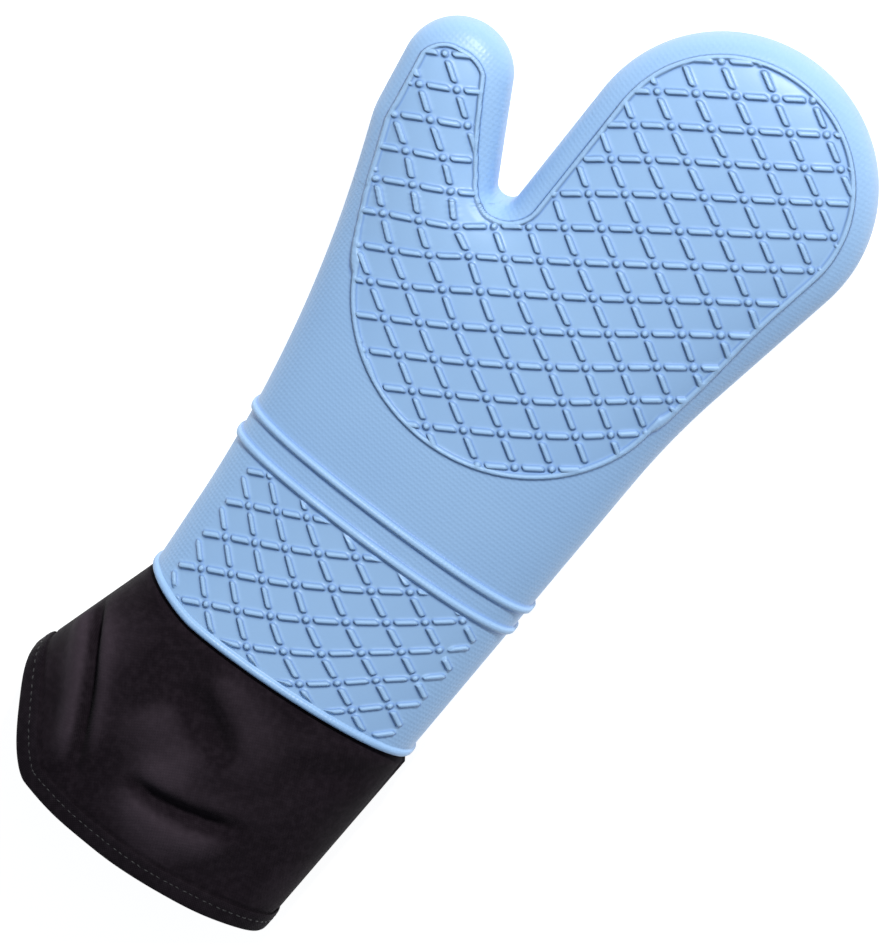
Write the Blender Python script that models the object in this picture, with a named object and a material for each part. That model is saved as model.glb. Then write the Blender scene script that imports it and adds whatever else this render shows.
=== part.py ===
"""Long silicone oven mitt with a sewn, padded liner and a cotton cuff.

The mitt lies on its back: +Z is the palm side that faces up, +Y runs from the cuff's mouth to the
fingertips, and the thumb is on the -X side.  Every layer is an offset of one skin, so the silicone
shell, the liner's cover, its batting and its lining nest with an even gap.  All sizes are in metres.
"""
import math

import bpy
import numpy as np
from mathutils import Vector

# ---------------------------------------------------------------- driving dimensions
# The outline is a belt around these pulleys, from the cuff's right corner round to its left one:
# centre x, centre y, radius; a negative radius is a pulley outside the belt, which makes a hollow.
CUFF_CORNER_RIGHT = (0.0560, 0.0030, 0.0)
FOREARM_HOLLOW_RIGHT = (0.3530, 0.2215, -0.2995)
FINGER_PULLEY = (0.0086, 0.3240, 0.0556)
CROTCH_PULLEY = (-0.0497, 0.2712, -0.0045)
THUMB_PULLEY = (-0.0905, 0.2912, 0.0203)
THUMB_HEEL = (-0.0687, 0.2741, 0.0381)
FOREARM_HOLLOW_LEFT = (-0.5590, 0.0513, -0.5004)
CUFF_FLARE = (-0.0665, 0.0790, -0.0080)
CUFF_CORNER_LEFT = (-0.0712, 0.0270, 0.0)
PULLEYS = (
    CUFF_CORNER_RIGHT,
    FOREARM_HOLLOW_RIGHT,
    FINGER_PULLEY,
    CROTCH_PULLEY,
    THUMB_PULLEY,
    THUMB_HEEL,
    FOREARM_HOLLOW_LEFT,
    CUFF_FLARE,
    CUFF_CORNER_LEFT,
)
OUTLINE_STEP = 0.0010

# How far the skin stands from the mid-plane, and where the table flattens it.
MID_HEIGHT = 0.0225
HAND_DEPTH = 0.0245
CUFF_DEPTH = 0.0300
THUMB_FULLNESS = 1.28
DEPTH_POWER = 0.34
REFERENCE_HALF_WIDTH = 0.0560
GRID_CELL = 0.0020
RELAXATION_STEPS = 900
RIM_BAND = 0.0050

# Layers, each from its outer to its inner offset under the skin.
GAP = 0.0003
EDGE_SETBACK = 0.0003
LINER_SLACK = 0.0006
SHELL_THICKNESS = 0.0018
COVER_THICKNESS = 0.0006
BATTING_THICKNESS = 0.0025
LINING_THICKNESS = 0.0005
HEM_THICKNESS = 0.0006
TAPE_THICKNESS = 0.0005
THREAD_RADIUS = 0.0004
COVER_TOP = SHELL_THICKNESS + LINER_SLACK
COVER_END = COVER_TOP + COVER_THICKNESS
BATTING_TOP = COVER_END + GAP
BATTING_END = BATTING_TOP + BATTING_THICKNESS
LINING_TOP = BATTING_END + GAP
LINING_END = LINING_TOP + LINING_THICKNESS
HEM_TOP = COVER_END + GAP
HEM_END = HEM_TOP + HEM_THICKNESS
LINING_TOP_AT_HEM = HEM_END + GAP
BATTING_TAPER = (0.0400, 0.0840)

# Where the cuff comes out of the shell, the liner's layers rise until the cover is near the skin.
CUFF_LIFT = 0.0012
CUFF_LIFT_SPAN = (0.0420, 0.0720)

# Rows of points across the forearm: the heights of their left and right ends, and how far their
# middle droops below a straight line, because the mouth of the cuff is cut as a curve.
CUFF_ROWS = (
    (0.0270, 0.0030, 0.0283),
    (0.0356, 0.0077, 0.0304),
    (0.0413, 0.0109, 0.0319),
    (0.0540, 0.0350, 0.0230),
    (0.0670, 0.0620, 0.0130),
)
SHELL_END_ROW = (0.0805, 0.0870, 0.0052)
FOREARM_ROWS = (
    (0.1020, 0.1060, 0.0030),
    (0.1270, 0.1300, 0.0010),
    (0.1510, 0.1540, 0.0),
    (0.1760, 0.1790, 0.0),
    (0.1990, 0.2020, 0.0),
)
DROOP_PEAK = 0.22
WEB_ROWS = ((0.2110, 0.2200, 0.33), (0.2190, 0.2400, 0.66), (0.2240, 0.2560, 0.88), (0.2270, 0.2640, 0.96))
THUMB_COLUMNS = 5
FINGER_COLUMNS = 8
THUMB_SHARE = 0.385

# The crotch, where the skin forks, and the rows beyond it.
CROTCH_POINT_ANGLE = math.radians(-70.0)
FINGER_ROW_STEPS = (
    0.0035,
    0.0120,
    0.0200,
    0.0290,
    0.0380,
    0.0500,
    0.0640,
    0.0780,
    0.0900,
    0.1000,
    0.1070,
)
THUMB_DIRECTION_ANGLE = math.radians(122.0)
THUMB_ROW_STEPS = (0.0035, 0.0090, 0.0150, 0.0220, 0.0290, 0.0370, 0.0450, 0.0520)
FINGER_FOLD_ROWS = (1, 5)
THUMB_FOLD_ROWS = (1, 5)

# Joint axes: each runs through the middle of its fold, in the mid-plane.
FINGER_AXIS_POINT = (0.0060, 0.2880)
THUMB_AXIS_DISTANCE = 0.01625

# Finishes: base colour, roughness.
SILICONE = ((0.330, 0.520, 0.800), 0.45)
BLACK_COTTON = ((0.018, 0.013, 0.016), 0.90)
BATTING = ((0.780, 0.770, 0.740), 0.95)
LINING = ((0.030, 0.026, 0.030), 0.90)
THREAD = ((0.060, 0.055, 0.060), 0.70)


# ---------------------------------------------------------------- outline
def belt(pulleys):
    """Points along a belt that runs anticlockwise around the pulleys."""
    normals = []
    for (x1, y1, r1), (x2, y2, r2) in zip(pulleys, pulleys[1:]):
        reach = math.hypot(x2 - x1, y2 - y1)
        heading = math.atan2(y2 - y1, x2 - x1)
        normals.append(heading - math.pi / 2 + math.asin((r1 - r2) / reach))
    points = []
    for index, (x, y, radius) in enumerate(pulleys):
        start = normals[max(index - 1, 0)]
        turn = normals[min(index, len(normals) - 1)] - start
        turn = (turn + math.pi) % (2 * math.pi) - math.pi
        if radius > 0 and turn < 0:
            turn += 2 * math.pi
        steps = max(1, int(abs(turn * radius) / OUTLINE_STEP))
        for step in range(steps + 1):
            angle = start + turn * step / steps
            points.append((x + radius * math.cos(angle), y + radius * math.sin(angle)))
    return np.array(points)


def resample(points, step):
    """The same line with a point about every step, which keeps its corners."""
    dense = []
    for start, end in zip(points, points[1:]):
        count = max(1, int(math.ceil(np.hypot(*(end - start)) / step)))
        for index in range(count):
            dense.append(start + (end - start) * index / count)
    dense.append(points[-1])
    return np.array(dense)


OUTLINE = resample(belt(PULLEYS), OUTLINE_STEP)


def nearest_on_outline(point):
    """Distance to the outline and the foot of the perpendicular."""
    starts = OUTLINE[:-1]
    spans = OUTLINE[1:] - starts
    lengths = np.maximum((spans**2).sum(axis=1), 1e-18)
    along = np.clip(((point - starts) * spans).sum(axis=1) / lengths, 0.0, 1.0)
    feet = starts + along[:, None] * spans
    distances = np.hypot(*(feet - point).T)
    best = int(np.argmin(distances))
    return float(distances[best]), feet[best]


def crossing(origin, direction):
    """Where a ray from inside first meets the outline."""
    starts = OUTLINE[:-1]
    spans = OUTLINE[1:] - starts
    cross = direction[0] * spans[:, 1] - direction[1] * spans[:, 0]
    cross = np.where(np.abs(cross) < 1e-15, 1e-15, cross)
    offset = starts - origin
    along_ray = (offset[:, 0] * spans[:, 1] - offset[:, 1] * spans[:, 0]) / cross
    along_edge = (offset[:, 0] * direction[1] - offset[:, 1] * direction[0]) / cross
    hits = (along_ray > 1e-6) & (along_edge >= 0.0) & (along_edge <= 1.0)
    return np.array(origin) + np.array(direction) * along_ray[hits].min()


# ---------------------------------------------------------------- fullness
def smoothstep(value):
    value = min(max(value, 0.0), 1.0)
    return value * value * (3.0 - 2.0 * value)


class Fullness:
    """How full the mitt stands: a membrane blown up between the edges, open at the cuff."""

    def __init__(self):
        low = OUTLINE.min(axis=0) - 3 * GRID_CELL
        high = OUTLINE.max(axis=0) + 3 * GRID_CELL
        self.low = np.array((low[0], -0.060))
        self.xs = np.arange(self.low[0], high[0], GRID_CELL)
        self.ys = np.arange(self.low[1], high[1], GRID_CELL)
        grid_x, grid_y = np.meshgrid(self.xs, self.ys)
        left = OUTLINE[-1]
        right = OUTLINE[0]
        ring = np.vstack((OUTLINE, (left[0], -0.100), (right[0], -0.100)))
        inside = self.inside(ring, grid_x, grid_y)
        self.values = self.relax(inside)

    @staticmethod
    def inside(ring, grid_x, grid_y):
        found = np.zeros(grid_x.shape, dtype=bool)
        for (x1, y1), (x2, y2) in zip(ring, np.roll(ring, -1, axis=0)):
            if y1 == y2:
                continue
            spans = (grid_y >= min(y1, y2)) & (grid_y < max(y1, y2))
            cut = x1 + (grid_y - y1) * (x2 - x1) / (y2 - y1)
            found ^= spans & (grid_x < cut)
        return found

    @staticmethod
    def relax(inside):
        values = np.zeros(inside.shape)
        rows, columns = np.indices(inside.shape)
        colours = [inside & ((rows + columns) % 2 == parity) for parity in (0, 1)]
        speed = 1.93
        for _ in range(RELAXATION_STEPS):
            for colour in colours:
                around = np.zeros_like(values)
                around[1:] += values[:-1]
                around[:1] += values[:1]
                around[:-1] += values[1:]
                around[:, 1:] += values[:, :-1]
                around[:, :-1] += values[:, 1:]
                target = (around + GRID_CELL**2) / 4.0
                values = np.where(colour, values + speed * (target - values), values)
        return values

    def raw(self, point):
        column = (point[0] - self.xs[0]) / GRID_CELL
        row = (point[1] - self.ys[0]) / GRID_CELL
        i = int(row)
        j = int(column)
        v = row - i
        u = column - j
        block = self.values[i : i + 2, j : j + 2]
        low = (1 - u) * block[0, 0] + u * block[0, 1]
        high = (1 - u) * block[1, 0] + u * block[1, 1]
        return float((1 - v) * low + v * high)

    def depth(self, point):
        """Half the mitt's thickness at a point of the plan."""
        distance, foot = nearest_on_outline(point)
        if distance < 1e-6:
            return 0.0
        if distance < RIM_BAND:
            inward = (point - foot) / distance
            value = self.raw(foot + inward * RIM_BAND) * distance / RIM_BAND
        else:
            value = self.raw(point)
        share = (2.0 * value / REFERENCE_HALF_WIDTH**2) ** DEPTH_POWER
        cuff = smoothstep((0.150 - point[1]) / 0.110)
        tip = np.array(THUMB_PULLEY[:2])
        thumb = smoothstep(1.0 - np.hypot(*(point - tip)) / 0.075)
        full = HAND_DEPTH + (CUFF_DEPTH - HAND_DEPTH) * cuff
        return full * share * (1.0 + (THUMB_FULLNESS - 1.0) * thumb)


FULLNESS = Fullness()


# ---------------------------------------------------------------- rows of points
def outline_at(y, side):
    """The outline's left or right point at a height, seen from the forearm's middle."""
    middle = (-0.004, y)
    return crossing(middle, (side, 0.0))


def spread_open(count):
    """Shares that crowd towards 0, where the edge of the mitt is."""
    return [1.0 - math.cos(math.pi / 2 * index / count) for index in range(count + 1)]


def spread_closed(count):
    """Shares that crowd towards both ends, where both are edges of the mitt."""
    return [(1.0 - math.cos(math.pi * index / count)) / 2 for index in range(count + 1)]


def line(start, end, shares):
    return [start + (end - start) * share for share in shares]


def mixed(first, second, weight):
    return [a + (b - a) * weight for a, b in zip(first, second)]


def forked_row(left, middle, right, weight):
    """A row of the palm; weight 0 crosses it flat and 1 is pinched at the crotch."""
    thumb_shares = mixed(spread_open(THUMB_COLUMNS), spread_closed(THUMB_COLUMNS), weight)
    finger_shares = mixed(spread_open(FINGER_COLUMNS), spread_closed(FINGER_COLUMNS), weight)
    thumb_part = line(left, middle, thumb_shares)
    finger_part = line(right, middle, finger_shares)[::-1]
    return thumb_part + finger_part[1:]


def drooped(row, depth):
    """The row with its middle lowered; the droop is steep at the left end and slow to the right."""
    left = row[0]
    right = row[-1]
    lowered = []
    for point in row:
        share = (point[0] - left[0]) / (right[0] - left[0])
        rise = 1.0 - max(1.0 - share / DROOP_PEAK, 0.0) ** 1.5
        fall = 1.0 - max((share - DROOP_PEAK) / (1.0 - DROOP_PEAK), 0.0) ** 1.6
        lowered.append(point - np.array((0.0, depth * rise * fall)))
    return lowered


def palm_rows():
    rows = []
    for left_y, right_y, droop in CUFF_ROWS + (SHELL_END_ROW,) + FOREARM_ROWS:
        left = outline_at(left_y, -1.0)
        right = outline_at(right_y, 1.0)
        flat = forked_row(left, left + (right - left) * THUMB_SHARE, right, 0.0)
        rows.append(drooped(flat, droop))
    flat_middle = rows[-1][THUMB_COLUMNS]
    for left_y, right_y, weight in WEB_ROWS:
        middle = flat_middle + (CROTCH - flat_middle) * weight
        rows.append(forked_row(outline_at(left_y, -1.0), middle, outline_at(right_y, 1.0), weight))
    left = crossing(CROTCH, -THUMB_ACROSS)
    right = crossing(CROTCH, (1.0, 0.0))
    rows.append(forked_row(left, CROTCH, right, 1.0))
    return rows


def cap_row(row):
    """The stretch of outline beyond a row's two ends, which closes a tip."""
    start = int(np.argmin(np.hypot(*(OUTLINE - row[-1]).T)))
    end = int(np.argmin(np.hypot(*(OUTLINE - row[0]).T)))
    arc = OUTLINE[start : end + 1][::-1]
    count = len(row) - 1
    picks = [arc[round(index * (len(arc) - 1) / count)] for index in range(1, count)]
    return [row[0]] + picks + [row[-1]]


def branch_rows(first, axis, across, steps, columns):
    """Rows beyond the fork: each runs across the branch from outline to outline."""
    rows = [first]
    middle = (first[0] + first[-1]) / 2
    for step in steps:
        centre = middle + axis * step
        left = crossing(centre, -across)
        right = crossing(centre, across)
        rows.append(line(left, right, spread_closed(columns)))
    rows.append(cap_row(rows[-1]))
    return rows


THUMB_AXIS = np.array((math.cos(THUMB_DIRECTION_ANGLE), math.sin(THUMB_DIRECTION_ANGLE)))
THUMB_ACROSS = np.array((THUMB_AXIS[1], -THUMB_AXIS[0]))
CROTCH = np.array(
    (
        CROTCH_PULLEY[0] + abs(CROTCH_PULLEY[2]) * math.cos(CROTCH_POINT_ANGLE),
        CROTCH_PULLEY[1] + abs(CROTCH_PULLEY[2]) * math.sin(CROTCH_POINT_ANGLE),
    )
)
CROTCH = nearest_on_outline(CROTCH)[1]


# ---------------------------------------------------------------- the skin
class Skin:
    """The mitt's outer surface as triangles, with a normal at every point."""

    def __init__(self):
        self.points = []
        self.faces = []
        self.tags = []
        self.indices = {}
        palm = palm_rows()
        thumb_first = palm[-1][: THUMB_COLUMNS + 1]
        finger_first = palm[-1][THUMB_COLUMNS:]
        up = np.array((0.0, 1.0))
        across = np.array((1.0, 0.0))
        thumb = branch_rows(thumb_first, THUMB_AXIS, THUMB_ACROSS, THUMB_ROW_STEPS, THUMB_COLUMNS)
        fingers = branch_rows(finger_first, up, across, FINGER_ROW_STEPS, FINGER_COLUMNS)
        for region, rows in (("palm", palm), ("fingers", fingers), ("thumb", thumb)):
            self.add_rows(region, rows)
        self.points = np.array(self.points)
        self.centre = (self.points.min(axis=0) + self.points.max(axis=0)) / 2
        self.centre[2] = 0.0
        self.points -= self.centre
        self.normals = self.vertex_normals()

    def index(self, place, side):
        depth = FULLNESS.depth(place)
        rim = depth == 0.0
        key = (round(place[0] * 1e6), round(place[1] * 1e6), 0 if rim else side)
        if key not in self.indices:
            height = MID_HEIGHT + side * depth
            self.indices[key] = len(self.points)
            self.points.append((place[0], place[1], max(height, 0.0)))
        return self.indices[key]

    def add_rows(self, region, rows):
        for number, (low, high) in enumerate(zip(rows, rows[1:])):
            columns = len(low) - 1
            for column in range(columns):
                corners = (low[column], low[column + 1], high[column + 1], high[column])
                for side in (1, -1):
                    loop = [self.index(corner, side) for corner in corners]
                    if column >= columns / 2:
                        loop = loop[1:] + loop[:1]
                    for triangle in (loop[:3], [loop[0]] + loop[2:]):
                        if len(set(triangle)) == 3:
                            self.faces.append(triangle[::side])
                            self.tags.append((region, number, column, columns, side))

    def vertex_normals(self):
        normals = np.zeros_like(self.points)
        for face in self.faces:
            corners = self.points[face]
            for turn in range(3):
                here, after, before = corners[turn], corners[(turn + 1) % 3], corners[(turn + 2) % 3]
                a = (after - here) / np.linalg.norm(after - here)
                b = (before - here) / np.linalg.norm(before - here)
                normal = np.cross(a, b)
                size = np.linalg.norm(normal)
                angle = math.atan2(size, float(a @ b))
                normals[face[turn]] += normal / size * angle
        return normals / np.linalg.norm(normals, axis=1)[:, None]


SKIN = Skin()
LAST_PALM_BAND = len(CUFF_ROWS) + len(FOREARM_ROWS) + len(WEB_ROWS)


def faces_where(test):
    return [face for face, tag in zip(SKIN.faces, SKIN.tags) if test(*tag)]


# ---------------------------------------------------------------- regions of the skin
def in_palm(region, band):
    if region == "palm":
        return True
    first_fold_row = FINGER_FOLD_ROWS[0] if region == "fingers" else THUMB_FOLD_ROWS[0]
    return band < first_fold_row


def in_fold(region, band, branch):
    rows = FINGER_FOLD_ROWS if branch == "fingers" else THUMB_FOLD_ROWS
    return region == branch and rows[0] <= band < rows[1]


def in_branch(region, band, branch):
    rows = FINGER_FOLD_ROWS if branch == "fingers" else THUMB_FOLD_ROWS
    return region == branch and band >= rows[1]


# ---------------------------------------------------------------- building solids
def material(name, finish):
    colour, roughness = finish
    made = bpy.data.materials.new(name)
    made.use_nodes = True
    shader = made.node_tree.nodes["Principled BSDF"]
    shader.inputs["Base Color"].default_value = (*colour, 1.0)
    shader.inputs["Roughness"].default_value = roughness
    shader.inputs["Metallic"].default_value = 0.0
    return made


def add_object(name, points, faces, finish, pivot):
    """One named object whose mesh is measured from its pivot, an empty on its joint's axis."""
    origin = np.array(pivot.location) if pivot else np.zeros(3)
    mesh = bpy.data.meshes.new(name)
    mesh.from_pydata([tuple(point - origin) for point in points], [], faces)
    mesh.validate()
    mesh.shade_smooth()
    mesh.set_sharp_from_angle(angle=math.radians(50))
    mesh.materials.append(material(name, finish))
    made = bpy.data.objects.new(name, mesh)
    bpy.context.scene.collection.objects.link(made)
    if pivot:
        made.parent = pivot
    return made


def boundary_edges(faces):
    """Edges that only one face uses, in that face's direction."""
    edges = {}
    for face in faces:
        for a, b in zip(face, face[1:] + face[:1]):
            edges[(a, b)] = face
    return {edge: face for edge, face in edges.items() if edge[::-1] not in edges}


def drawn_back(faces, edges):
    """How far each point on a piece's edge steps back, to leave a gap to the next piece."""
    steps = {}
    tangents = {}
    pulls = {}
    for a, b in edges:
        along = SKIN.points[b] - SKIN.points[a]
        along = along / np.linalg.norm(along)
        for index in (a, b):
            tangents[index] = tangents.get(index, 0.0) + along
    for face in faces:
        centre = SKIN.points[face].mean(axis=0)
        for index in face:
            if index in tangents:
                pull = centre - SKIN.points[index]
                pulls[index] = pulls.get(index, 0.0) + pull / np.linalg.norm(pull)
    for index, tangent in tangents.items():
        pull = pulls[index]
        normal = SKIN.normals[index]
        if np.linalg.norm(tangent) > 1e-6:
            tangent = tangent / np.linalg.norm(tangent)
            pull = pull - tangent * (pull @ tangent)
        pull = pull - normal * (pull @ normal)
        steps[index] = pull / np.linalg.norm(pull) * EDGE_SETBACK
    return steps


def layer(name, faces, outer, inner, finish, pivot=None):
    """A sheet of the skin between two offsets; an offset may depend on the height along the mitt."""
    used = sorted({index for face in faces for index in face})
    edges = boundary_edges(faces)
    steps = drawn_back(faces, edges)
    numbers = {index: place for place, index in enumerate(used)}
    points = []
    for offset in (outer, inner):
        for index in used:
            point = SKIN.points[index]
            depth = offset(point[1] + SKIN.centre[1]) if callable(offset) else offset
            step = steps.get(index, np.zeros(3))
            points.append(point - SKIN.normals[index] * depth + step)
    count = len(used)
    solid = []
    for face in faces:
        a, b, c = (numbers[index] for index in face)
        solid.append((a, b, c))
        solid.append((c + count, b + count, a + count))
    for a, b in edges:
        p, q = numbers[a], numbers[b]
        solid.append((q, p, p + count))
        solid.append((q, p + count, q + count))
    return add_object(name, points, solid, finish, pivot)


def thread_ring(name, ring, offset, finish):
    """A closed thread that follows a row of the skin right round the cuff."""
    sides = 6
    points = []
    faces = []
    count = len(ring)
    for place, index in enumerate(ring):
        before = SKIN.points[ring[place - 1]]
        after = SKIN.points[ring[(place + 1) % count]]
        forward = Vector(after - before).normalized()
        out = Vector(SKIN.normals[index])
        out = (out - forward * out.dot(forward)).normalized()
        aside = forward.cross(out)
        depth = offset(SKIN.points[index][1] + SKIN.centre[1])
        centre = Vector(SKIN.points[index] - SKIN.normals[index] * depth)
        for side in range(sides):
            angle = 2 * math.pi * side / sides
            reach = (out * math.cos(angle) + aside * math.sin(angle)) * THREAD_RADIUS
            points.append(np.array(centre + reach))
    for place in range(count):
        here = place * sides
        there = (place + 1) % count * sides
        for side in range(sides):
            turn = (side + 1) % sides
            faces.append((here + side, here + turn, there + turn, there + side))
    return add_object(name, points, faces, finish, None)


# ---------------------------------------------------------------- offsets that change along the cuff
def lifted(depth):
    """An offset that shrinks towards the cuff's mouth, beyond the shell's end."""
    low, high = CUFF_LIFT_SPAN
    return lambda y: depth - CUFF_LIFT * smoothstep((high - y) / (high - low))


def taper(y):
    start, end = BATTING_TAPER
    return smoothstep((y - start) / (end - start))


def lining_outer(y):
    thick = LINING_TOP_AT_HEM + (LINING_TOP - LINING_TOP_AT_HEM) * taper(y)
    return lifted(thick)(y)


def lining_inner(y):
    return lining_outer(y) + LINING_THICKNESS


def batting_inner(y):
    return lining_outer(y) - GAP


# ---------------------------------------------------------------- the mitt's pieces
SHELL_START = len(CUFF_ROWS)
HEM_BANDS = 2
SEAM_BANDS = (2, 4)
BATTING_START = 4
SIDES = (("front", 1), ("back", -1))


def build_shell(pivots):
    palm = faces_where(lambda r, band, c, n, s: in_palm(r, band) and (r != "palm" or band >= SHELL_START))
    layer("silicone_shell_palm", palm, 0.0, SHELL_THICKNESS, SILICONE)
    for branch in ("fingers", "thumb"):
        fold = faces_where(lambda r, band, c, n, s: in_fold(r, band, branch))
        layer(f"silicone_fold_{branch}", fold, 0.0, SHELL_THICKNESS, SILICONE)
        tip = faces_where(lambda r, band, c, n, s: in_branch(r, band, branch))
        layer(f"silicone_shell_{branch}", tip, 0.0, SHELL_THICKNESS, SILICONE, pivots[branch])


def build_liner(pivots):
    sheets = (
        ("liner_cover", lifted(COVER_TOP), lifted(COVER_END), BLACK_COTTON, 0),
        ("batting", lifted(BATTING_TOP), batting_inner, BATTING, BATTING_START),
        ("lining", lining_outer, lining_inner, LINING, HEM_BANDS),
    )
    for sheet, outer, inner, finish, start in sheets:
        for side_name, side in SIDES:
            palm = faces_where(
                lambda r, band, c, n, s: s == side and in_palm(r, band) and (r != "palm" or band >= start)
            )
            layer(f"{sheet}_palm_{side_name}", palm, outer, inner, finish)
            for branch in ("fingers", "thumb"):
                tip = faces_where(lambda r, band, c, n, s: s == side and in_branch(r, band, branch))
                layer(f"{sheet}_{branch}_{side_name}", tip, outer, inner, finish, pivots[branch])
    for branch in ("fingers", "thumb"):
        fold = faces_where(lambda r, band, c, n, s: in_fold(r, band, branch))
        layer(f"liner_fold_{branch}", fold, COVER_TOP, LINING_END, BATTING)


def build_cuff():
    for side_name, side in SIDES:
        band = faces_where(lambda r, band, c, n, s: s == side and r == "palm" and band < HEM_BANDS)
        layer(f"cuff_hem_{side_name}", band, lifted(HEM_TOP), lifted(HEM_END), BLACK_COTTON)
    low, high = SEAM_BANDS
    for name, edge in (("left", lambda c, n: c == 0), ("right", lambda c, n: c == n - 1)):
        tape = faces_where(lambda r, band, c, n, s: r == "palm" and low <= band < high and edge(c, n))
        outer, inner = lifted(HEM_TOP), lifted(HEM_TOP + TAPE_THICKNESS)
        layer(f"side_seam_tape_{name}", tape, outer, inner, BLACK_COTTON)
    front = [SKIN.index(place, 1) for place in palm_rows()[1]]
    back = [SKIN.index(place, -1) for place in palm_rows()[1]]
    ring = front + back[-2:0:-1]
    thread_ring("hem_stitching_outer", ring, lifted(COVER_TOP - GAP - THREAD_RADIUS), THREAD)
    thread_ring("hem_stitching_inner", ring, lifted(HEM_END + GAP + THREAD_RADIUS), THREAD)


def add_pivot(name, x, y):
    """An empty in the mid-plane, on a joint's axis."""
    pivot = bpy.data.objects.new(name, None)
    pivot.empty_display_size = 0.03
    pivot.location = (x - SKIN.centre[0], y - SKIN.centre[1], MID_HEIGHT)
    bpy.context.scene.collection.objects.link(pivot)
    return pivot


def build():
    for existing in list(bpy.data.objects):
        bpy.data.objects.remove(existing, do_unlink=True)
    thumb_row = palm_rows()[-1][: THUMB_COLUMNS + 1]
    thumb_middle = (thumb_row[0] + thumb_row[-1]) / 2 + THUMB_AXIS * THUMB_AXIS_DISTANCE
    pivots = {
        "fingers": add_pivot("finger_fold_axis", *FINGER_AXIS_POINT),
        "thumb": add_pivot("thumb_fold_axis", *thumb_middle),
    }
    bpy.context.view_layer.update()
    build_shell(pivots)
    build_liner(pivots)
    build_cuff()


build()
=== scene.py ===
"""Looks of the long silicone oven mitt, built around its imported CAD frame.

Every layer is swept over one skin: rows of points across the mitt that fork at the crotch into a
thumb and a finger pouch.  The lattice, the rib round it, the wrist bands and the end bead are real
relief on that skin; the liner is a cotton cover, batting and a quilted lining inside it.
"""
import math

import bpy
import numpy as np
from mathutils import Matrix, Vector


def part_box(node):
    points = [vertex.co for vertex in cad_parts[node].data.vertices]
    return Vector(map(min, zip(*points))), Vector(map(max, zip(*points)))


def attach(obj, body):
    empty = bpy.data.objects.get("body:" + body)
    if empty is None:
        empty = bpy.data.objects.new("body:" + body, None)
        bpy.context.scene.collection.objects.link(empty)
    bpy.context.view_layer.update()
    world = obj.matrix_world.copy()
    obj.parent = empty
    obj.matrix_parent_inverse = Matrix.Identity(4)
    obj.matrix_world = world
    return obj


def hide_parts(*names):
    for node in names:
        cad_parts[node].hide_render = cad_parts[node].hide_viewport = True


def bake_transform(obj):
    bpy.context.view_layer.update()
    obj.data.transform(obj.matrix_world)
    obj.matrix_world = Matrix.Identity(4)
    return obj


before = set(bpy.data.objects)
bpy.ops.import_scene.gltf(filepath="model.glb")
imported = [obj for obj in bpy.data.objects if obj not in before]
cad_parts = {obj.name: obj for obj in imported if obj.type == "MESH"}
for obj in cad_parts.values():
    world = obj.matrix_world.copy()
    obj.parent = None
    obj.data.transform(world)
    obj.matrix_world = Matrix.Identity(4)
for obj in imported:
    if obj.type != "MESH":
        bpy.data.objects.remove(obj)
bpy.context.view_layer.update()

MM = 0.001

# ---------------------------------------------------------------- the outline, as in the CAD
# Pulleys that a belt runs round: centre x, centre y, radius; negative radii make hollows.
CUFF_CORNER_RIGHT = (0.0560, 0.0030, 0.0)
FOREARM_HOLLOW_RIGHT = (0.3530, 0.2215, -0.2995)
FINGER_PULLEY = (0.0086, 0.3240, 0.0556)
CROTCH_PULLEY = (-0.0497, 0.2712, -0.0045)
THUMB_PULLEY = (-0.0905, 0.2912, 0.0203)
THUMB_HEEL = (-0.0687, 0.2741, 0.0381)
FOREARM_HOLLOW_LEFT = (-0.5590, 0.0513, -0.5004)
CUFF_FLARE = (-0.0665, 0.0790, -0.0080)
CUFF_CORNER_LEFT = (-0.0712, 0.0270, 0.0)
PULLEYS = (
    CUFF_CORNER_RIGHT,
    FOREARM_HOLLOW_RIGHT,
    FINGER_PULLEY,
    CROTCH_PULLEY,
    THUMB_PULLEY,
    THUMB_HEEL,
    FOREARM_HOLLOW_LEFT,
    CUFF_FLARE,
    CUFF_CORNER_LEFT,
)
# The frame's origin in the outline's own plan, read from where the fingers' shell stands.
FINGER_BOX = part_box("silicone_shell_fingers")
ORIGIN = np.array(
    (
        FINGER_PULLEY[0] + FINGER_PULLEY[2] - FINGER_BOX[1][0],
        FINGER_PULLEY[1] + FINGER_PULLEY[2] - FINGER_BOX[1][1],
    )
)

MID_HEIGHT = 0.0225
HAND_DEPTH = 0.0245
CUFF_DEPTH = 0.0300
THUMB_FULLNESS = 1.28
DEPTH_POWER = 0.34
REFERENCE_HALF_WIDTH = 0.0560
TABLE_CLEARANCE = 1.0 * MM
FLOOR_BEND = 1.2 * MM
GRID_CELL = 0.0020
RELAXATION_STEPS = 700
RIM_BAND = 0.0055

THUMB_DIRECTION_ANGLE = math.radians(122.0)
CROTCH_POINT_ANGLE = math.radians(-70.0)
THUMB_AXIS = np.array((math.cos(THUMB_DIRECTION_ANGLE), math.sin(THUMB_DIRECTION_ANGLE)))
THUMB_ACROSS = np.array((THUMB_AXIS[1], -THUMB_AXIS[0]))
THUMB_SHARE = 0.385
FORK_START = (0.1990, 0.2020)

# ---------------------------------------------------------------- layers under the skin
SHELL_THICKNESS = 1.8 * MM
COVER_UNDER_SHELL = 2.4 * MM
CLOTH_THICKNESS = 0.6 * MM
LINING_THICKNESS = 0.5 * MM

# The open end of the silicone and the cuff's mouth: heights at the left and right edge, and how
# far the middle droops below the straight line between them.
SHELL_END = (0.0805, 0.0870, 0.0052)
MOUTH = (0.0270, 0.0030, 0.0283)
DROOP_PEAK = 0.22
DROOP_FADE = 0.060
HEM_WIDTH = 7.2 * MM
HEM_STEP = 0.8 * MM
HEM_ROWS = 12
STITCH_LINE = 4.4 * MM

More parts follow.
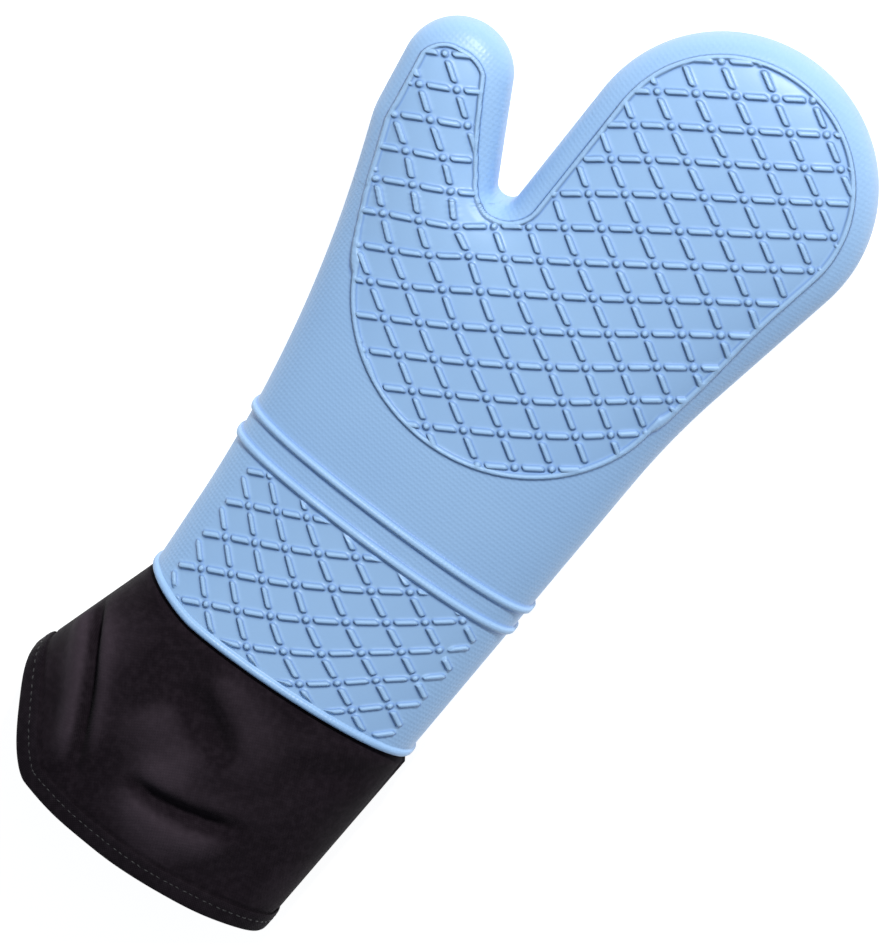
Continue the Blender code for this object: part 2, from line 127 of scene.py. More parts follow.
# ---------------------------------------------------------------- moulded relief
# Each lattice repeats in two steps, A and B, from an origin in the outline's own plan.
HAND_CELL_A = np.array((11.23, 8.95)) * MM
HAND_CELL_B = np.array((12.64, -6.80)) * MM
HAND_LATTICE_ORIGIN = np.array((-11.66, 252.2)) * MM
FOREARM_CELL_A = np.array((11.10, 7.61)) * MM
FOREARM_CELL_B = np.array((11.78, -7.47)) * MM
FOREARM_LATTICE_ORIGIN = np.array((-14.7, 114.9)) * MM
# The lattice on the hand was laid out on a plane that leans this far back from the palm.
PATTERN_LEAN = 0.272
BAR_HALF_LENGTH = 4.35 * MM
BAR_HALF_WIDTH = 1.15 * MM
DOT_RADIUS = 1.35 * MM
LATTICE_HEIGHT = 0.95 * MM
# The rib round the hand's lattice: how far in from the edge it runs, and the circle that closes
# it over the wrist, as centre x, centre y and radius, with the heights where the circle gives way
# to the left and right edges.
FIELD_INSET = 9.2 * MM
FIELD_CIRCLE = (-17.3 * MM, 243.0 * MM, 63.5 * MM)
FIELD_CIRCLE_TOPS = (212.0 * MM, 238.0 * MM)
FIELD_EASE = 0.35
FIELD_CORNER = 4.0 * MM
# Where the rib's inset differs: by how much, the height where that starts, how far it takes to
# come in full, and the place across the palm that it stays to the left of. The tip has only the
# first and the last of these, and the heel only the first three.
TIP_INSET = (3.2 * MM, -62.0 * MM)
THUMB_FRONT_INSET = (1.8 * MM, 258.0 * MM, 20.0 * MM, -45.0 * MM)
THUMB_BACK_INSET = (-4.0 * MM, 200.0 * MM, 42.0 * MM, -60.0 * MM)
HEEL_INSET = (-2.4 * MM, 255.0 * MM, 45.0 * MM)
FOREARM_MARGIN = 9.8 * MM
# Left of the middle the forearm's lattice is laid round the side, stretched by this much.
FOREARM_WRAP = 1.30
BARS_UNDER_BAND = 2.2 * MM
BARS_OVER_BEAD = 3.6 * MM
# The height that divides the hand's lattice from the forearm's.
LATTICE_SPLIT = 0.150
PLATE_EASE = 2e-5
# Where the moulded pattern is drawn aside as it wraps the form: place, then shift, millimetres.
# Both were read by eye off the photograph and a render, turned into millimetres by a scratch
# script, and rounded: the places to one millimetre and the shifts to half of one.
HAND_DRAWN = (
    (-87, 286, 12.5, 2.0), (-88, 272, 10.5, 3.0), (-75, 264, 10.5, 2.0), (-86, 257, 10.0, 4.0),
    (-77, 249, 7.0, 3.0), (-65, 257, 8.0, 1.5), (-78, 233, 4.0, 3.5), (-55, 247, 4.5, -1.0),
    (-67, 225, 2.5, 2.0), (-45, 242, 2.5, 1.0), (-24, 259, 0.5, -1.0), (-64, 212, 2.5, 3.5),
    (-32, 219, 1.0, 0.5), (12, 253, -0.5, -0.5), (-41, 197, 2.0, 3.5), (3, 230, 1.0, 0.5),
    (43, 265, -4.5, -0.5), (-17, 184, 1.0, 3.5), (27, 217, -1.0, 1.0), (44, 236, -5.0, 1.0),
    (-32, 334, 0.0, -4.0), (2, 361, 0.0, -4.5), (-29, 304, 0.5, -2.5), (37, 357, -2.5, -4.0),
    (17, 325, -0.5, -2.0), (51, 336, -2.5, -2.0), (43, 297, -2.0, -0.5),
)
FOREARM_DRAWN = (
    (-46, 118, 2.5, 2.0), (-28, 129, -0.5, -1.5), (-44, 89, 2.5, 3.0), (-25, 100, 0.5, 0.5),
    (-4, 115, -0.5, 0.0), (18, 133, -0.5, 2.0), (-35, 80, 1.0, 2.5), (-4, 100, -1.0, 0.0),
    (-14, 78, -0.5, 1.0), (8, 94, -0.5, 1.5), (29, 114, -1.0, 5.0), (9, 80, 0.0, 3.0),
    (39, 96, -3.5, 9.0),
)
RIB_HALF_WIDTH = 0.95 * MM
RIB_HEIGHT = 0.9 * MM
BANDS = ((154.4 * MM, 0.064), (143.9 * MM, 0.072))
BAND_HALF_WIDTH = 1.55 * MM
BAND_HEIGHT = 1.35 * MM
BEAD_RADIUS = 1.5 * MM
BEAD_SINK = 0.3 * MM


def smoothstep(value):
    value = np.clip(value, 0.0, 1.0)
    return value * value * (3.0 - 2.0 * value)


def mix(first, second, weight):
    return first + (second - first) * weight


# ---------------------------------------------------------------- the outline
class Belt:
    """A belt round the pulleys, as arcs and straight runs, with exact distances."""

    def __init__(self, pulleys):
        normals = []
        for (x1, y1, r1), (x2, y2, r2) in zip(pulleys, pulleys[1:]):
            reach = math.hypot(x2 - x1, y2 - y1)
            heading = math.atan2(y2 - y1, x2 - x1)
            normals.append(heading - math.pi / 2 + math.asin((r1 - r2) / reach))
        self.arcs = []
        self.runs = []
        points = []
        previous = None
        for index, (x, y, radius) in enumerate(pulleys):
            start = normals[max(index - 1, 0)]
            turn = normals[min(index, len(normals) - 1)] - start
            turn = (turn + math.pi) % (2 * math.pi) - math.pi
            if radius > 0 and turn < 0:
                turn += 2 * math.pi
            steps = max(1, int(abs(turn * radius) / (0.2 * MM)))
            angles = start + turn * np.arange(steps + 1) / steps
            arc = np.stack((x + radius * np.cos(angles), y + radius * np.sin(angles)), axis=1)
            if previous is not None:
                self.runs.append((previous, arc[0]))
            if radius != 0.0:
                self.arcs.append((np.array((x, y)), radius, start, turn))
            previous = arc[-1]
            points.append(arc)
        self.line = np.vstack(points)
        below = np.array((0.0, -0.2))
        self.runs.append((self.line[0] + below, self.line[0]))
        self.runs.append((self.line[-1], self.line[-1] + below))
        self.ring = np.vstack((self.line, self.line[-1] + below, self.line[0] + below))

    def distance(self, points):
        """How far each point lies from the belt, and the nearest point on it."""
        best = np.full(len(points), 1e9)
        feet = np.zeros_like(points)
        for centre, radius, start, turn in self.arcs:
            away = points - centre
            reach = np.maximum(np.hypot(away[:, 0], away[:, 1]), 1e-12)
            side = 1.0 if radius > 0 else -1.0
            angle = np.arctan2(away[:, 1] * side, away[:, 0] * side)
            along = (angle - start) * (1.0 if turn > 0 else -1.0)
            along = np.mod(along, 2 * math.pi)
            gap = np.where(along <= abs(turn), np.abs(reach - abs(radius)), 1e9)
            closer = gap < best
            best = np.where(closer, gap, best)
            on_arc = centre + away / reach[:, None] * abs(radius)
            feet = np.where(closer[:, None], on_arc, feet)
        for start, end in self.runs:
            span = end - start
            share = np.clip(((points - start) @ span) / (span @ span), 0.0, 1.0)
            foot = start + share[:, None] * span
            gap = np.hypot(*(points - foot).T)
            closer = gap < best
            best = np.where(closer, gap, best)
            feet = np.where(closer[:, None], foot, feet)
        return best, feet

    def holds(self, x, y):
        """True where a point lies inside the belt."""
        found = np.zeros(x.shape, dtype=bool)
        for (x1, y1), (x2, y2) in zip(self.ring, np.roll(self.ring, -1, axis=0)):
            if y1 == y2:
                continue
            spans = (y >= min(y1, y2)) & (y < max(y1, y2))
            cut = x1 + (y - y1) * (x2 - x1) / (y2 - y1)
            found ^= spans & (x < cut)
        return found

    def crossing(self, origin, direction):
        """Where a ray from inside first meets the belt."""
        starts = self.line[:-1]
        spans = self.line[1:] - starts
        cross = direction[0] * spans[:, 1] - direction[1] * spans[:, 0]
        cross = np.where(np.abs(cross) < 1e-15, 1e-15, cross)
        offset = starts - origin
        along_ray = (offset[:, 0] * spans[:, 1] - offset[:, 1] * spans[:, 0]) / cross
        along_edge = (offset[:, 0] * direction[1] - offset[:, 1] * direction[0]) / cross
        hits = (along_ray > 1e-7) & (along_edge >= -1e-9) & (along_edge <= 1.0 + 1e-9)
        return np.asarray(origin) + np.asarray(direction) * along_ray[hits].min()


BELT = Belt(PULLEYS)


# ---------------------------------------------------------------- fullness
class Fullness:
    """How full the mitt stands: a membrane blown up between the edges, open at the cuff."""

    def __init__(self):
        low = BELT.line.min(axis=0) - 3 * GRID_CELL
        high = BELT.line.max(axis=0) + 3 * GRID_CELL
        self.xs = np.arange(low[0], high[0], GRID_CELL)
        self.ys = np.arange(-0.060, high[1], GRID_CELL)
        grid_x, grid_y = np.meshgrid(self.xs, self.ys)
        inside = BELT.holds(grid_x, grid_y)
        gap, _ = BELT.distance(np.stack((grid_x.ravel(), grid_y.ravel()), axis=1))
        self.values = self.relax(inside, gap.reshape(inside.shape) * np.where(inside, 1.0, -1.0))

    @staticmethod
    def relax(inside, signed):
        """Solves for the membrane; where the belt cuts between two grid points it is zero."""
        values = np.zeros(inside.shape)
        weight = np.full(inside.shape, 4.0)
        for axis, shift in ((0, 1), (0, -1), (1, 1), (1, -1)):
            beyond = np.roll(signed, shift, axis=axis)
            cut = inside & (beyond < 0)
            share = np.clip(signed / np.where(cut, signed - beyond, 1.0), 0.08, 1.0)
            weight += np.where(cut, (1.0 - share) / share, 0.0)
        rows, columns = np.indices(inside.shape)
        colours = [inside & ((rows + columns) % 2 == parity) for parity in (0, 1)]
        speed = 1.93
        for _ in range(RELAXATION_STEPS):
            for colour in colours:
                around = np.zeros_like(values)
                around[1:] += values[:-1]
                around[:1] += values[:1]
                around[:-1] += values[1:]
                around[:, 1:] += values[:, :-1]
                around[:, :-1] += values[:, 1:]
                target = (around + GRID_CELL**2) / weight
                values = np.where(colour, values + speed * (target - values), values)
        return values

    def smooth_value(self, points):
        """The membrane between grid points, as a cubic spline."""
        column = (points[:, 0] - self.xs[0]) / GRID_CELL
        row = (points[:, 1] - self.ys[0]) / GRID_CELL
        i = np.floor(row).astype(int)
        j = np.floor(column).astype(int)

        def spline(t):
            return (
                (1 - t) ** 3 / 6,
                (3 * t**3 - 6 * t**2 + 4) / 6,
                (-3 * t**3 + 3 * t**2 + 3 * t + 1) / 6,
                t**3 / 6,
            )

        across = spline(column - j)
        up = spline(row - i)
        total = np.zeros(len(points))
        for a in range(4):
            rows = np.clip(i + a - 1, 0, len(self.ys) - 1)
            for b in range(4):
                columns = np.clip(j + b - 1, 0, len(self.xs) - 1)
                total += up[a] * across[b] * self.values[rows, columns]
        return total

    def depth(self, points):
        """Half the mitt's thickness at points of the plan."""
        gap, feet = BELT.distance(points)
        inward = (points - feet) / np.maximum(gap, 1e-9)[:, None]
        edge = self.smooth_value(feet + inward * RIM_BAND) / RIM_BAND + RIM_BAND / 2
        near = edge * gap - gap**2 / 2
        blend = smoothstep((gap - RIM_BAND) / (4 * MM))
        value = np.where(gap < RIM_BAND, near, mix(near, self.smooth_value(points), blend))
        value = np.where(gap < 1e-7, 0.0, value)
        share = (2.0 * np.maximum(value, 0.0) / REFERENCE_HALF_WIDTH**2) ** DEPTH_POWER
        cuff = smoothstep((0.150 - points[:, 1]) / 0.110)
        thumb = smoothstep(1.0 - np.hypot(*(points - THUMB_PULLEY[:2]).T) / 0.075)
        full = HAND_DEPTH + (CUFF_DEPTH - HAND_DEPTH) * cuff
        return full * share * (1.0 + (THUMB_FULLNESS - 1.0) * thumb)


FULLNESS = Fullness()


# ---------------------------------------------------------------- rows of points across the skin
# A line up the mitt that stays inside its outline.
INNER_X = -0.004
SHELL_TIP_ROWS = 8
LINER_TIP_ROWS = 4


def outline_at(y, side):
    return BELT.crossing((INNER_X, y), (side, 0.0))


def grid_quads(grid):
    """One quad for each cell of a grid of point numbers."""
    corners = (grid[:-1, :-1], grid[:-1, 1:], grid[1:, 1:], grid[1:, :-1])
    return np.stack(corners, axis=-1).reshape(-1, 4)


def eased(count, edge):
    """Shares from 0 to 1 that crowd towards 0, where the skin turns steeply over its edge."""
    k = np.arange(count + 1)
    unit = 1.0 / (1.0 + 3.0 * (count - edge) / edge)
    return np.where(k < edge, unit * (k / edge) ** 3, unit * (1.0 + 3.0 * (k - edge) / edge))


def eased_both(count, edge):
    half = eased(count // 2, edge) / 2
    return np.concatenate((half, 1.0 - half[-2::-1]))


def forked_row(left, middle, right, weight, columns, edge):
    """A row of the palm; weight 0 crosses it flat and 1 is pinched at the crotch."""
    blend = float(smoothstep(weight))
    thumb, finger = (mix(eased(n, edge), eased_both(n, edge), blend) for n in columns)
    left_part = left + (middle - left) * thumb[:, None]
    right_part = (right + (middle - right) * finger[:, None])[::-1]
    return np.vstack((left_part, right_part[1:]))


def droop(share):
    """How a curved row droops: steeply at its left end, slowly to the right."""
    rise = 1.0 - np.maximum(1.0 - share / DROOP_PEAK, 0.0) ** 1.5
    fall = 1.0 - np.maximum((share - DROOP_PEAK) / (1.0 - DROOP_PEAK), 0.0) ** 1.6
    return rise * fall


def curved_row(left_y, right_y, depth, columns, edge):
    """A row right across the forearm or the cuff, with its middle lowered."""
    left = outline_at(left_y, -1.0)
    right = outline_at(right_y, 1.0)
    row = forked_row(left, left + (right - left) * THUMB_SHARE, right, 0.0, columns, edge)
    share = (row[:, 0] - left[0]) / (right[0] - left[0])
    row[:, 1] -= depth * np.clip(droop(np.clip(share, 0.0, 1.0)), 0.0, 1.0)
    return row


class Skin:
    """Rows over the palm, fingers and thumb, and how their points join into one surface."""

    def __init__(self, first_rows, finger_columns, thumb_columns, step, edge, tip_rows):
        self.columns = (thumb_columns, finger_columns)
        self.thumb_columns = thumb_columns
        self.edge = edge
        crotch = np.array(CROTCH_PULLEY[:2]) + abs(CROTCH_PULLEY[2]) * np.array(
            (math.cos(CROTCH_POINT_ANGLE), math.sin(CROTCH_POINT_ANGLE))
        )
        self.crotch = BELT.distance(crotch[None])[1][0]
        palm = self.palm_rows(first_rows, step)
        thumb = self.branch(palm[-1][: thumb_columns + 1], THUMB_AXIS, THUMB_ACROSS, step, tip_rows)
        up = np.array((0.0, 1.0))
        across = np.array((1.0, 0.0))
        fingers = self.branch(palm[-1][thumb_columns:], up, across, step, tip_rows)
        self.plan = []
        self.index(palm, fingers, thumb)

    def palm_rows(self, first_rows, step):
        rows = list(first_rows)
        left_top = BELT.crossing(self.crotch, -THUMB_ACROSS)
        right_top = BELT.crossing(self.crotch, (1.0, 0.0))
        left_low, right_low = FORK_START
        first = rows[-1][self.thumb_columns]
        reach = float(np.hypot(*(self.crotch - first)))
        count = int(reach / step) + 8
        for weight in 1.0 - eased(count, 12)[::-1][1:]:
            left = outline_at(mix(left_low, left_top[1], weight), -1.0)
            right = outline_at(mix(right_low, right_top[1], weight), 1.0)
            middle = mix(first, self.crotch, weight)
            rows.append(forked_row(left, middle, right, weight, self.columns, self.edge))
        rows[-1][self.thumb_columns] = self.crotch
        return rows

    def branch(self, first, axis, across, step, tip_rows):
        rows = [first]
        columns = len(first) - 1
        middle = (first[0] + first[-1]) / 2
        tip = BELT.crossing(middle + axis * 0.01, axis)
        reach = float((tip - middle) @ axis) - 1.5 * MM
        count = int(reach / step) + 8
        for share in eased(count, 12)[1:]:
            centre = middle + axis * reach * share
            left = BELT.crossing(centre, -across)
            right = BELT.crossing(centre, across)
            rows.append(left + (right - left) * eased_both(columns, self.edge)[:, None])
        last = rows[-1]
        start = int(np.argmin(np.hypot(*(BELT.line - last[-1]).T)))
        end = int(np.argmin(np.hypot(*(BELT.line - last[0]).T)))
        arc = BELT.line[start : end + 1][::-1]
        places = np.linspace(0, len(arc) - 1, columns + 1)
        whole = np.floor(places).astype(int)
        after = np.minimum(whole + 1, len(arc) - 1)
        cap = arc[whole] + (arc[after] - arc[whole]) * (places - whole)[:, None]
        cap[0] = last[0]
        cap[-1] = last[-1]
        for share in 1.0 - (1.0 - np.arange(1, tip_rows + 1) / tip_rows) ** 3:
            rows.append(last + (cap - last) * share)
        return rows

    def index(self, palm, fingers, thumb):
        """Numbers every point; points on the rim belong to the front and the back alike."""
        self.sides = []
        self.grids = {}
        fork = self.thumb_columns
        for name, rows in (("palm", palm), ("fingers", fingers), ("thumb", thumb)):
            count = len(rows)
            width = len(rows[0])
            front = np.zeros((count, width), dtype=int)
            back = np.zeros((count, width), dtype=int)
            for r, row in enumerate(rows):
                if r == 0 and name == "fingers":
                    front[0] = self.grids["palm"][0][-1][fork:]
                    back[0] = self.grids["palm"][1][-1][fork:]
                    continue
                if r == 0 and name == "thumb":
                    front[0] = self.grids["palm"][0][-1][: fork + 1]
                    back[0] = self.grids["palm"][1][-1][: fork + 1]
                    continue
                base = len(self.plan)
                rim = np.zeros(width, dtype=bool)
                rim[0] = rim[-1] = True
                if name == "palm" and r == count - 1:
                    rim[fork] = True
                if name != "palm" and r == count - 1:
                    rim[:] = True
                self.plan.extend(row)
                self.sides.extend(np.where(rim, 0, 1))
                front[r] = base + np.arange(width)
                base = len(self.plan)
                extra = np.flatnonzero(~rim)
                self.plan.extend(row[extra])
                self.sides.extend([-1] * len(extra))
                back[r] = front[r]
                back[r][extra] = base + np.arange(len(extra))
            if name != "palm":
                for r in range(1, count):
                    same = np.hypot(*(rows[r][[0, -1]] - rows[r - 1][[0, -1]]).T) < 1e-9
                    for place, merged in zip((0, -1), same):
                        if merged:
                            front[r][place] = front[r - 1][place]
                            back[r][place] = back[r - 1][place]
            self.grids[name] = (front, back)
        self.plan = np.array(self.plan)
        self.sides = np.array(self.sides)

    def faces(self, name, rows=None):
        """Quads over a region; rows picks which of its rows are used."""
        found = []
        for grid, turned in zip(self.grids[name], (False, True)):
            picked = grid if rows is None else grid[rows]
            quads = grid_quads(picked)
            found.append(quads[:, ::-1] if turned else quads)
        return np.vstack(found)

    def across(self, points):
        """Each point's place across the palm, measured round its curve from the middle."""
        found = self.plan[:, 0].copy()
        for grid in self.grids["palm"]:
            for row in grid:
                steps = np.linalg.norm(np.diff(points[row], axis=0), axis=1)
                length = np.concatenate(((0.0,), np.cumsum(steps)))
                middle = np.interp(0.0, self.plan[row, 0], length)
                found[row] = length - middle
        return found

    def positions(self):
        """The smooth skin in the frame's own place, flattened where it lies on the table."""
        depth = FULLNESS.depth(self.plan)
        depth = np.where(self.sides == 0, 0.0, depth)
        height = MID_HEIGHT + np.where(self.sides >= 0, depth, -depth)
        height = soft_floor(height, TABLE_CLEARANCE)
        return np.column_stack((self.plan - ORIGIN, height))

    def facing(self):
        """Which way the smooth skin faces at each point, from the slope of its fullness."""
        gap, _ = BELT.distance(self.plan)
        rim = (self.sides == 0) | (gap < 0.02 * MM)
        step = np.clip(gap * 0.25, 1e-8, 0.05 * MM)
        slopes = []
        for axis in (0, 1):
            shift = np.zeros_like(self.plan)
            shift[:, axis] = step
            ahead = FULLNESS.depth(self.plan + shift)
            behind = FULLNESS.depth(self.plan - shift)
            slopes.append((ahead - behind) / (2 * step))
        slopes = np.column_stack(slopes)
        height = MID_HEIGHT - FULLNESS.depth(self.plan) - TABLE_CLEARANCE
        pressed = np.clip((height + FLOOR_BEND) / (2 * FLOOR_BEND), 0.0, 1.0)
        slopes *= np.where(self.sides < 0, pressed, 1.0)[:, None]
        normals = np.column_stack((-slopes, np.where(self.sides >= 0, 1.0, -1.0)))
        reach = 0.1 * MM
        inward = np.zeros((int(rim.sum()), 3))
        for axis in (0, 1):
            shift = np.zeros(2)
            shift[axis] = reach
            for sign in (1.0, -1.0):
                beside = self.plan[rim] + sign * shift
                signed = BELT.distance(beside)[0] * np.where(BELT.holds(*beside.T), 1.0, -1.0)
                inward[:, axis] += sign * signed
        normals[rim] = -inward
        return normals / np.linalg.norm(normals, axis=1)[:, None]


def soft_floor(height, floor):
    """Never below the floor, with a soft bend where the cloth meets it."""
    over = height - floor
    bent = np.where(over < -FLOOR_BEND, 0.0, (over + FLOOR_BEND) ** 2 / (4 * FLOOR_BEND))
    return floor + np.where(over > FLOOR_BEND, over, bent)


def face_normals(points, quads):
    a, b, c, d = (points[quads[:, k]] for k in range(4))
    return np.cross(c - a, d - b)


def point_normals(points, quads):
    normals = np.zeros_like(points)
    flat = face_normals(points, quads)
    for k in range(4):
        np.add.at(normals, quads[:, k], flat)
    length = np.linalg.norm(normals, axis=1)
    return normals / np.maximum(length, 1e-15)[:, None]


# ---------------------------------------------------------------- moulded relief on the silicone
def profile(ratio):
    """A rounded ridge: 1 over the middle, 0 beyond its foot."""
    return smoothstep((1.42 - ratio) / 1.05)


def lattice(points, origin, cell_a, cell_b):
    """Raised dots at the crossings of two line families, and raised bars between the crossings.

    For the dots and for each family of bars: how raised each point is, and the way from it to the
    middle of its nearest dot or bar.  Then each point's place in the lattice.
    """
    basis = np.linalg.inv(np.column_stack((cell_a, cell_b)))
    place = (points - origin) @ basis.T
    away = place - np.round(place)
    offset = away[:, :1] * cell_a + away[:, 1:] * cell_b
    raised = [profile(np.hypot(*offset.T) / DOT_RADIUS)]
    middles = [-offset]
    for first, second, along_cell, other_cell in ((0, 1, cell_a, cell_b), (1, 0, cell_b, cell_a)):
        half = place[:, first] - np.floor(place[:, first]) - 0.5
        offset = half[:, None] * along_cell + away[:, second, None] * other_cell
        heading = along_cell / np.hypot(*along_cell)
        along = offset @ heading
        aside = offset @ np.array((-heading[1], heading[0]))
        over = np.maximum(np.abs(along) - (BAR_HALF_LENGTH - BAR_HALF_WIDTH), 0.0)
        raised.append(profile(np.hypot(over, aside) / BAR_HALF_WIDTH))
        middles.append(-offset)
    return np.array(raised), np.array(middles), place


class Drawn:
    """A smooth field of shifts that follows the listed ones, as a thin plate bends to them."""

    def __init__(self, measured):
        measured = np.array(measured) * MM
        self.places = measured[:, :2]
        count = len(self.places)
        flat = np.column_stack((np.ones(count), self.places))
        system = np.zeros((count + 3, count + 3))
        system[:count, :count] = self.bend(self.places) + PLATE_EASE * np.eye(count)
        system[:count, count:] = flat
        system[count:, :count] = flat.T
        self.weights = np.linalg.solve(system, np.vstack((measured[:, 2:], np.zeros((3, 2)))))

    def bend(self, points):
        reach = np.hypot(*(points[:, None] - self.places).transpose(2, 0, 1)) + 1e-9
        return reach**2 * np.log(reach)

    def at(self, points):
        flat = np.column_stack((np.ones(len(points)), points))
        return np.hstack((self.bend(points), flat)) @ self.weights


HAND_SHIFT = Drawn(HAND_DRAWN)
FOREARM_SHIFT = Drawn(FOREARM_DRAWN)


def soft_min(a, b, width):
    gap = np.clip(0.5 + (b - a) / (2 * width), 0.0, 1.0)
    return mix(b, a, gap) - width * gap * (1.0 - gap)


def above_curve(points, curve):
    """Height over a drooping curve that crosses the mitt from its left edge to its right one."""
    left_y, right_y, depth = curve
    left = outline_at(left_y, -1.0)[0]
    right = outline_at(right_y, 1.0)[0]
    share = np.clip((points[:, 0] - left) / (right - left), 0.0, 1.0)
    return points[:, 1] - (mix(left_y, right_y, share) - depth * droop(share))


def rib_inset(points, gap, feet):
    """How far in from the edge the rib runs; it comes closer at the thumb's back and the heel."""
    x, y = points.T
    outward = (feet - points) / np.maximum(gap, 1e-9)[:, None]
    change, limit = TIP_INSET
    inset = FIELD_INSET + change * np.clip(outward @ THUMB_AXIS, 0.0, 1.0) * (x < limit)
    for way, values in ((THUMB_ACROSS, THUMB_FRONT_INSET), (-THUMB_ACROSS, THUMB_BACK_INSET)):
        change, start, rise, limit = values
        share = smoothstep((y - start) / rise) * (x < limit)
        inset += change * np.clip(outward @ way, 0.0, 1.0) * share
    change, start, rise = HEEL_INSET
    inset += change * np.clip(outward[:, 0], 0.0, 1.0) * (1.0 - smoothstep((y - start) / rise))
    return inset


def hand_field(points, gap, feet):
    """Distance inside the rib that borders the hand's lattice; negative outside."""
    x, y, radius = FIELD_CIRCLE
    circle = radius - np.hypot(points[:, 0] - x, points[:, 1] - y)
    top = np.where(points[:, 0] < x, *FIELD_CIRCLE_TOPS)
    low_edge = np.maximum(circle, (points[:, 1] - top) * FIELD_EASE)
    return soft_min(gap - rib_inset(points, gap, feet), low_edge, FIELD_CORNER)


def band_distance(points, band):
    height, slope = band
    return points[:, 1] - (height + slope * points[:, 0])


def relief(points, across):
    """How far the silicone stands proud of the smooth skin, and where its pattern lies.

    Gives the height; each point's place in its lattice; how much of the dots and of each family of
    bars shows there; and its distances from the rib and the nearest band, with how plain it is.
    """
    leaning = points - np.outer(FULLNESS.depth(points), (0.0, PATTERN_LEAN))
    gap, feet = BELT.distance(leaning)
    gap = np.where(BELT.holds(leaning[:, 0], leaning[:, 1]), gap, 0.0)
    field = hand_field(leaning, gap, feet)
    inside = smoothstep((field + 0.3 * MM) / (0.8 * MM))
    laid = leaning - HAND_SHIFT.at(leaning)
    hand, _, hand_place = lattice(laid, HAND_LATTICE_ORIGIN, HAND_CELL_A, HAND_CELL_B)
    rib = profile(np.abs(field) / RIB_HALF_WIDTH)
    from_end = above_curve(points, SHELL_END)
    edge, _ = BELT.distance(points)
    under_band = -band_distance(points, BANDS[1]) - BARS_UNDER_BAND
    ends = np.minimum(under_band, from_end - BARS_OVER_BEAD)
    stretch = np.where(across < 0.0, FOREARM_WRAP, 1.0)
    wrapped = np.column_stack((points[:, 0] + stretch * (across - points[:, 0]), points[:, 1]))
    wrapped -= FOREARM_SHIFT.at(leaning)
    forearm, middles, forearm_place = lattice(
        wrapped, FOREARM_LATTICE_ORIGIN, FOREARM_CELL_A, FOREARM_CELL_B
    )
    inward = np.where(points[:, 0] < 0.0, 1.0, -1.0)
    whole = np.clip((edge + middles[:, :, 0] * inward - FOREARM_MARGIN) / (0.2 * MM), 0.0, 1.0)
    on_forearm = whole * smoothstep(ends / (0.9 * MM))
    upper = points[:, 1] > LATTICE_SPLIT
    shown = np.where(upper, inside, on_forearm)
    bars = (np.where(upper, hand, forearm) * shown).max(axis=0)
    height = np.maximum(bars * LATTICE_HEIGHT, rib * RIB_HEIGHT)
    nearest = np.min([np.abs(band_distance(points, band)) for band in BANDS], axis=0)
    height = np.maximum(height, profile(nearest / BAND_HALF_WIDTH) * BAND_HEIGHT)
    bead = np.sqrt(np.maximum(BEAD_RADIUS**2 - (from_end - BEAD_RADIUS) ** 2, 0.0)) - BEAD_SINK
    rolled = np.where(from_end < BEAD_RADIUS, bead, np.maximum(bead, 0.0))
    height = np.where(from_end < 2 * BEAD_RADIUS, rolled, height)
    in_forearm = smoothstep((np.minimum(ends, edge - FOREARM_MARGIN) + 1 * MM) / (2 * MM))
    plain = 1.0 - np.maximum(inside, in_forearm)
    place = np.where(upper[:, None], hand_place, forearm_place)
    cell = np.column_stack((place, np.zeros(len(points))))
    lines = np.column_stack((np.abs(field), nearest, plain))
    return height, cell, shown.T, lines


# ---------------------------------------------------------------- meshes
def make_object(name, points, quads, material, normals=None, attributes=None):
    """A mesh object from points and quads; a quad with two equal corners becomes a triangle."""
    used = np.unique(quads)
    number = np.full(len(points), -1)
    number[used] = np.arange(len(used))
    faces = []
    for quad in number[quads].tolist():
        corners = [v for k, v in enumerate(quad) if v != quad[k - 1]]
        if len(set(corners)) == len(corners) and len(corners) > 2:
            faces.append(corners)
    mesh = bpy.data.meshes.new(name)
    mesh.from_pydata(points[used].tolist(), [], faces)
    mesh.shade_smooth()
    for key, values in (attributes or {}).items():
        kind, field = ("FLOAT", "value") if values.ndim == 1 else ("FLOAT_VECTOR", "vector")
        layer = mesh.attributes.new(key, kind, "POINT")
        layer.data.foreach_set(field, values[used].astype(np.float32).ravel())
    if normals is not None:
        mesh.normals_split_custom_set_from_vertices(normals[used].tolist())
    mesh.materials.append(material)
    made = bpy.data.objects.new(name, mesh)
    bpy.context.scene.collection.objects.link(made)
    return made


